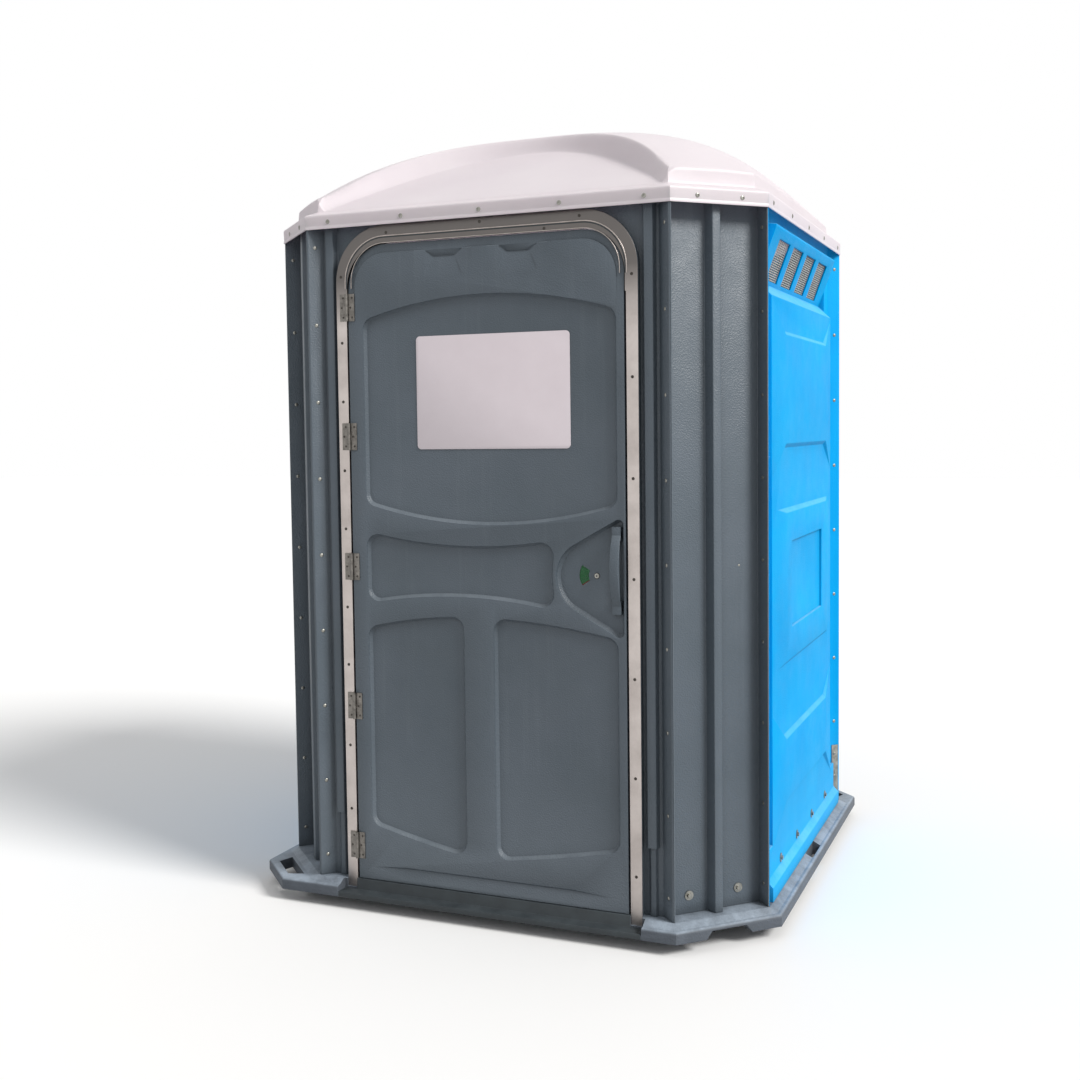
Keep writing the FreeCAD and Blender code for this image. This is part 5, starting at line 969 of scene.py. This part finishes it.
def addSkirtScrews():
    # along the front and back, along the sides, and two in each slanting corner
    z = skirt["height"]
    halfWidth, halfDepth = roof["halfWidth"] + skirt["out"], roof["halfDepth"] + skirt["out"]
    places = []
    for side in (-1, 1):
        places += [(point(x, side * halfDepth, z), (0, side, 0)) for x in skirt["front"]]
        places += [(point(side * halfWidth, y, z), (side, 0, 0)) for y in skirt["side"]]
        for end in (-1, 1):
            away = Vector((side, end, 0)).normalized()
            middle = Vector(point(side * skirt["corner"][0], end * skirt["corner"][1], z))
            for along in (-skirt["cornerHalf"], skirt["cornerHalf"]):
                shift = Vector((-end, side, 0)).normalized() * mm(along)
                places.append((middle + shift + away * mm(skirt["out"]), away))
    addHeads("skirt_screws", "skirtScrew", True, places)


addSkirtScrews()

strip = {"face": -762, "head": ((-291, 1968), (2, 1978), (296, 1973), (194, 1946)),
         "across": 441.5, "right": (190, 460, 730, 1000, 1270, 1540, 1811),
         "left": (290, 480, 720, 890, 1120, 1290, 1490, 1660, 1850)}


def addStripScrews():
    spots = list(strip["head"])
    spots += [(strip["across"], z) for z in strip["right"]]
    spots += [(-strip["across"], z) for z in strip["left"]]
    places = [(point(x, strip["face"], z), (0, -1, 0)) for x, z in spots]
    addHeads("strip_screws", "stripScrew", True, places, material=screwSteel)


addStripScrews()

# the middle screw of a leaf stands a little to the side of the outer two
hinge = {"heights": (183, 599, 1010, 1389, 1761), "frameSide": -436.4, "doorSide": -407.6,
         "face": -764, "screws": ((2, -28), (-3, 0), (2, 28))}


def addHingeScrews():
    for name, side, body in (("hinge_screws_frame", hinge["frameSide"], "cabin"),
                             ("hinge_screws_door", hinge["doorSide"], "door")):
        places = [(point(side + x, hinge["face"], height + z), (0, -1, 0))
                  for height in hinge["heights"] for x, z in hinge["screws"]]
        addHeads(name, "hingeScrew", True, places, body, screwSteel)


addHingeScrews()

bracket = {"heights": (110, 170, 250), "fromSide": 11.5, "fromFront": 7.5}


def addBracketBolts():
    low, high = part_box("rear_brackets")
    x, y = high.x - mm(bracket["fromSide"]), low.y + mm(bracket["fromFront"])
    places = [((side * x, y, mm(z)), (side, -1, 0)) for side in (-1, 1) for z in bracket["heights"]]
    addHeads("bracket_bolts", "bracketBolt", True, places)


addBracketBolts()

# a lone pin in the front right corner panel
pin = {"place": (695.5, -634.5, 1033), "facing": (1, -1, 0)}
addHeads("wall_pin", "wallPin", False, [(point(*pin["place"]), pin["facing"])])

# the end of the lock's spindle in the bowl: kind of head, place across the depth, body, material
spindle = {"spindle_washer": ("spindleWasher", -746, "door", blackPlastic),
           "spindle_cap": ("spindleCap", -748.4, "lock", zincSteel),
           "spindle_socket": ("spindleSocket", -749.6, "lock", blackPlastic)}


def addSpindleEnd():
    x, _, z = disc["middle"]
    for name, (kind, y, body, material) in spindle.items():
        addHeads(name, kind, False, [(point(x, y, z), (0, -1, 0))], body, material)


addSpindleEnd()

pull = {"x": (378.5, 404.5), "face": -760, "floor": -746, "ends": ((902, 940), (1102, 1140)),
        "edge": 1.5, "seat": 0.5}


def addPullFeet():
    # flat feet moulded on the ends of the grip, with a seam where the grip begins
    (left, right), face, floor = pull["x"], pull["face"], pull["floor"]
    feet = []
    for low, high in pull["ends"]:
        deselectAll()
        middle = point((left + right) / 2, (face + floor) / 2, (low + high) / 2)
        bpy.ops.mesh.primitive_cube_add(size=1, location=middle)
        foot = bpy.context.object
        foot.scale = point(right - left, floor - face, high - low)
        bpy.ops.object.transform_apply(location=True, rotation=True, scale=True)
        roundEdges(foot, pull["edge"], 2, 40, lambda p: p.y < mm(floor - pull["seat"]))
        feet.append(foot)
    choose(*feet)
    bpy.ops.object.join()
    feet[0].name = feet[0].data.name = "pull_feet"
    finishMesh(feet[0])
    fitted(feet[0], "door", "grey_plastic", greyPlastic)


addPullFeet()

# the right wall's screen leans from its low edge to its high edge, each given as x and z
screen = {"low": (698, 1803), "high": (753, 1953), "wire": 1.4, "sides": 5, "linePitch": 6.4,
          "lineLift": 1, "uprightPitch": 22, "uprightLift": 2.2, "margin": 4, "end": 3,
          "smooth": 60}


def addWire(length, location, rotation):
    deselectAll()
    bpy.ops.mesh.primitive_cylinder_add(vertices=screen["sides"], radius=mm(screen["wire"]),
                                        depth=length, location=location, rotation=rotation)
    wire = bpy.context.object
    bpy.ops.object.transform_apply(location=True, rotation=True, scale=True)
    return wire


def ventMesh(node, turn):
    # crossed wires, close ones along the wall and wider ones up it, coarser than the real ones
    # so that they show
    low = Vector(point(screen["low"][0], 0, screen["low"][1]))
    high = Vector(point(screen["high"][0], 0, screen["high"][1]))
    run = high - low
    along = run.normalized()
    inward = Vector((-run.z, 0, run.x)).normalized()
    length = run.length - 2 * mm(screen["margin"])
    _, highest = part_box(node)
    half = highest.x if node == "vent_screen_rear" else highest.y
    start = low + along * mm(screen["margin"]) + inward * mm(screen["lineLift"])
    lines = addWire(2 * half, start, (math.pi / 2, 0, 0))
    repeatAlong(lines, int(length / mm(screen["linePitch"])), along * mm(screen["linePitch"]))
    middle = (low + high) / 2 + inward * mm(screen["uprightLift"])
    first = (middle.x, -half + mm(screen["end"]), middle.z)
    uprights = addWire(length, first, (0, math.atan2(run.x, run.z), 0))
    columns = int(2 * (half - mm(screen["end"])) / mm(screen["uprightPitch"])) + 1
    repeatAlong(uprights, columns, point(0, screen["uprightPitch"], 0))
    choose(lines, uprights)
    bpy.ops.object.join()
    lines.name = lines.data.name = node.replace("screen", "mesh")
    lines.matrix_world = Matrix.Rotation(turn, 4, "Z")
    finishMesh(lines, screen["smooth"])
    fitted(lines, "cabin", "screen_metal", screenMetal, node)


for node, turn in (("vent_screen_right", 0), ("vent_screen_left", math.pi),
                   ("vent_screen_rear", math.pi / 2)):
    ventMesh(node, turn)
print("screws, rivets and vent wires added")
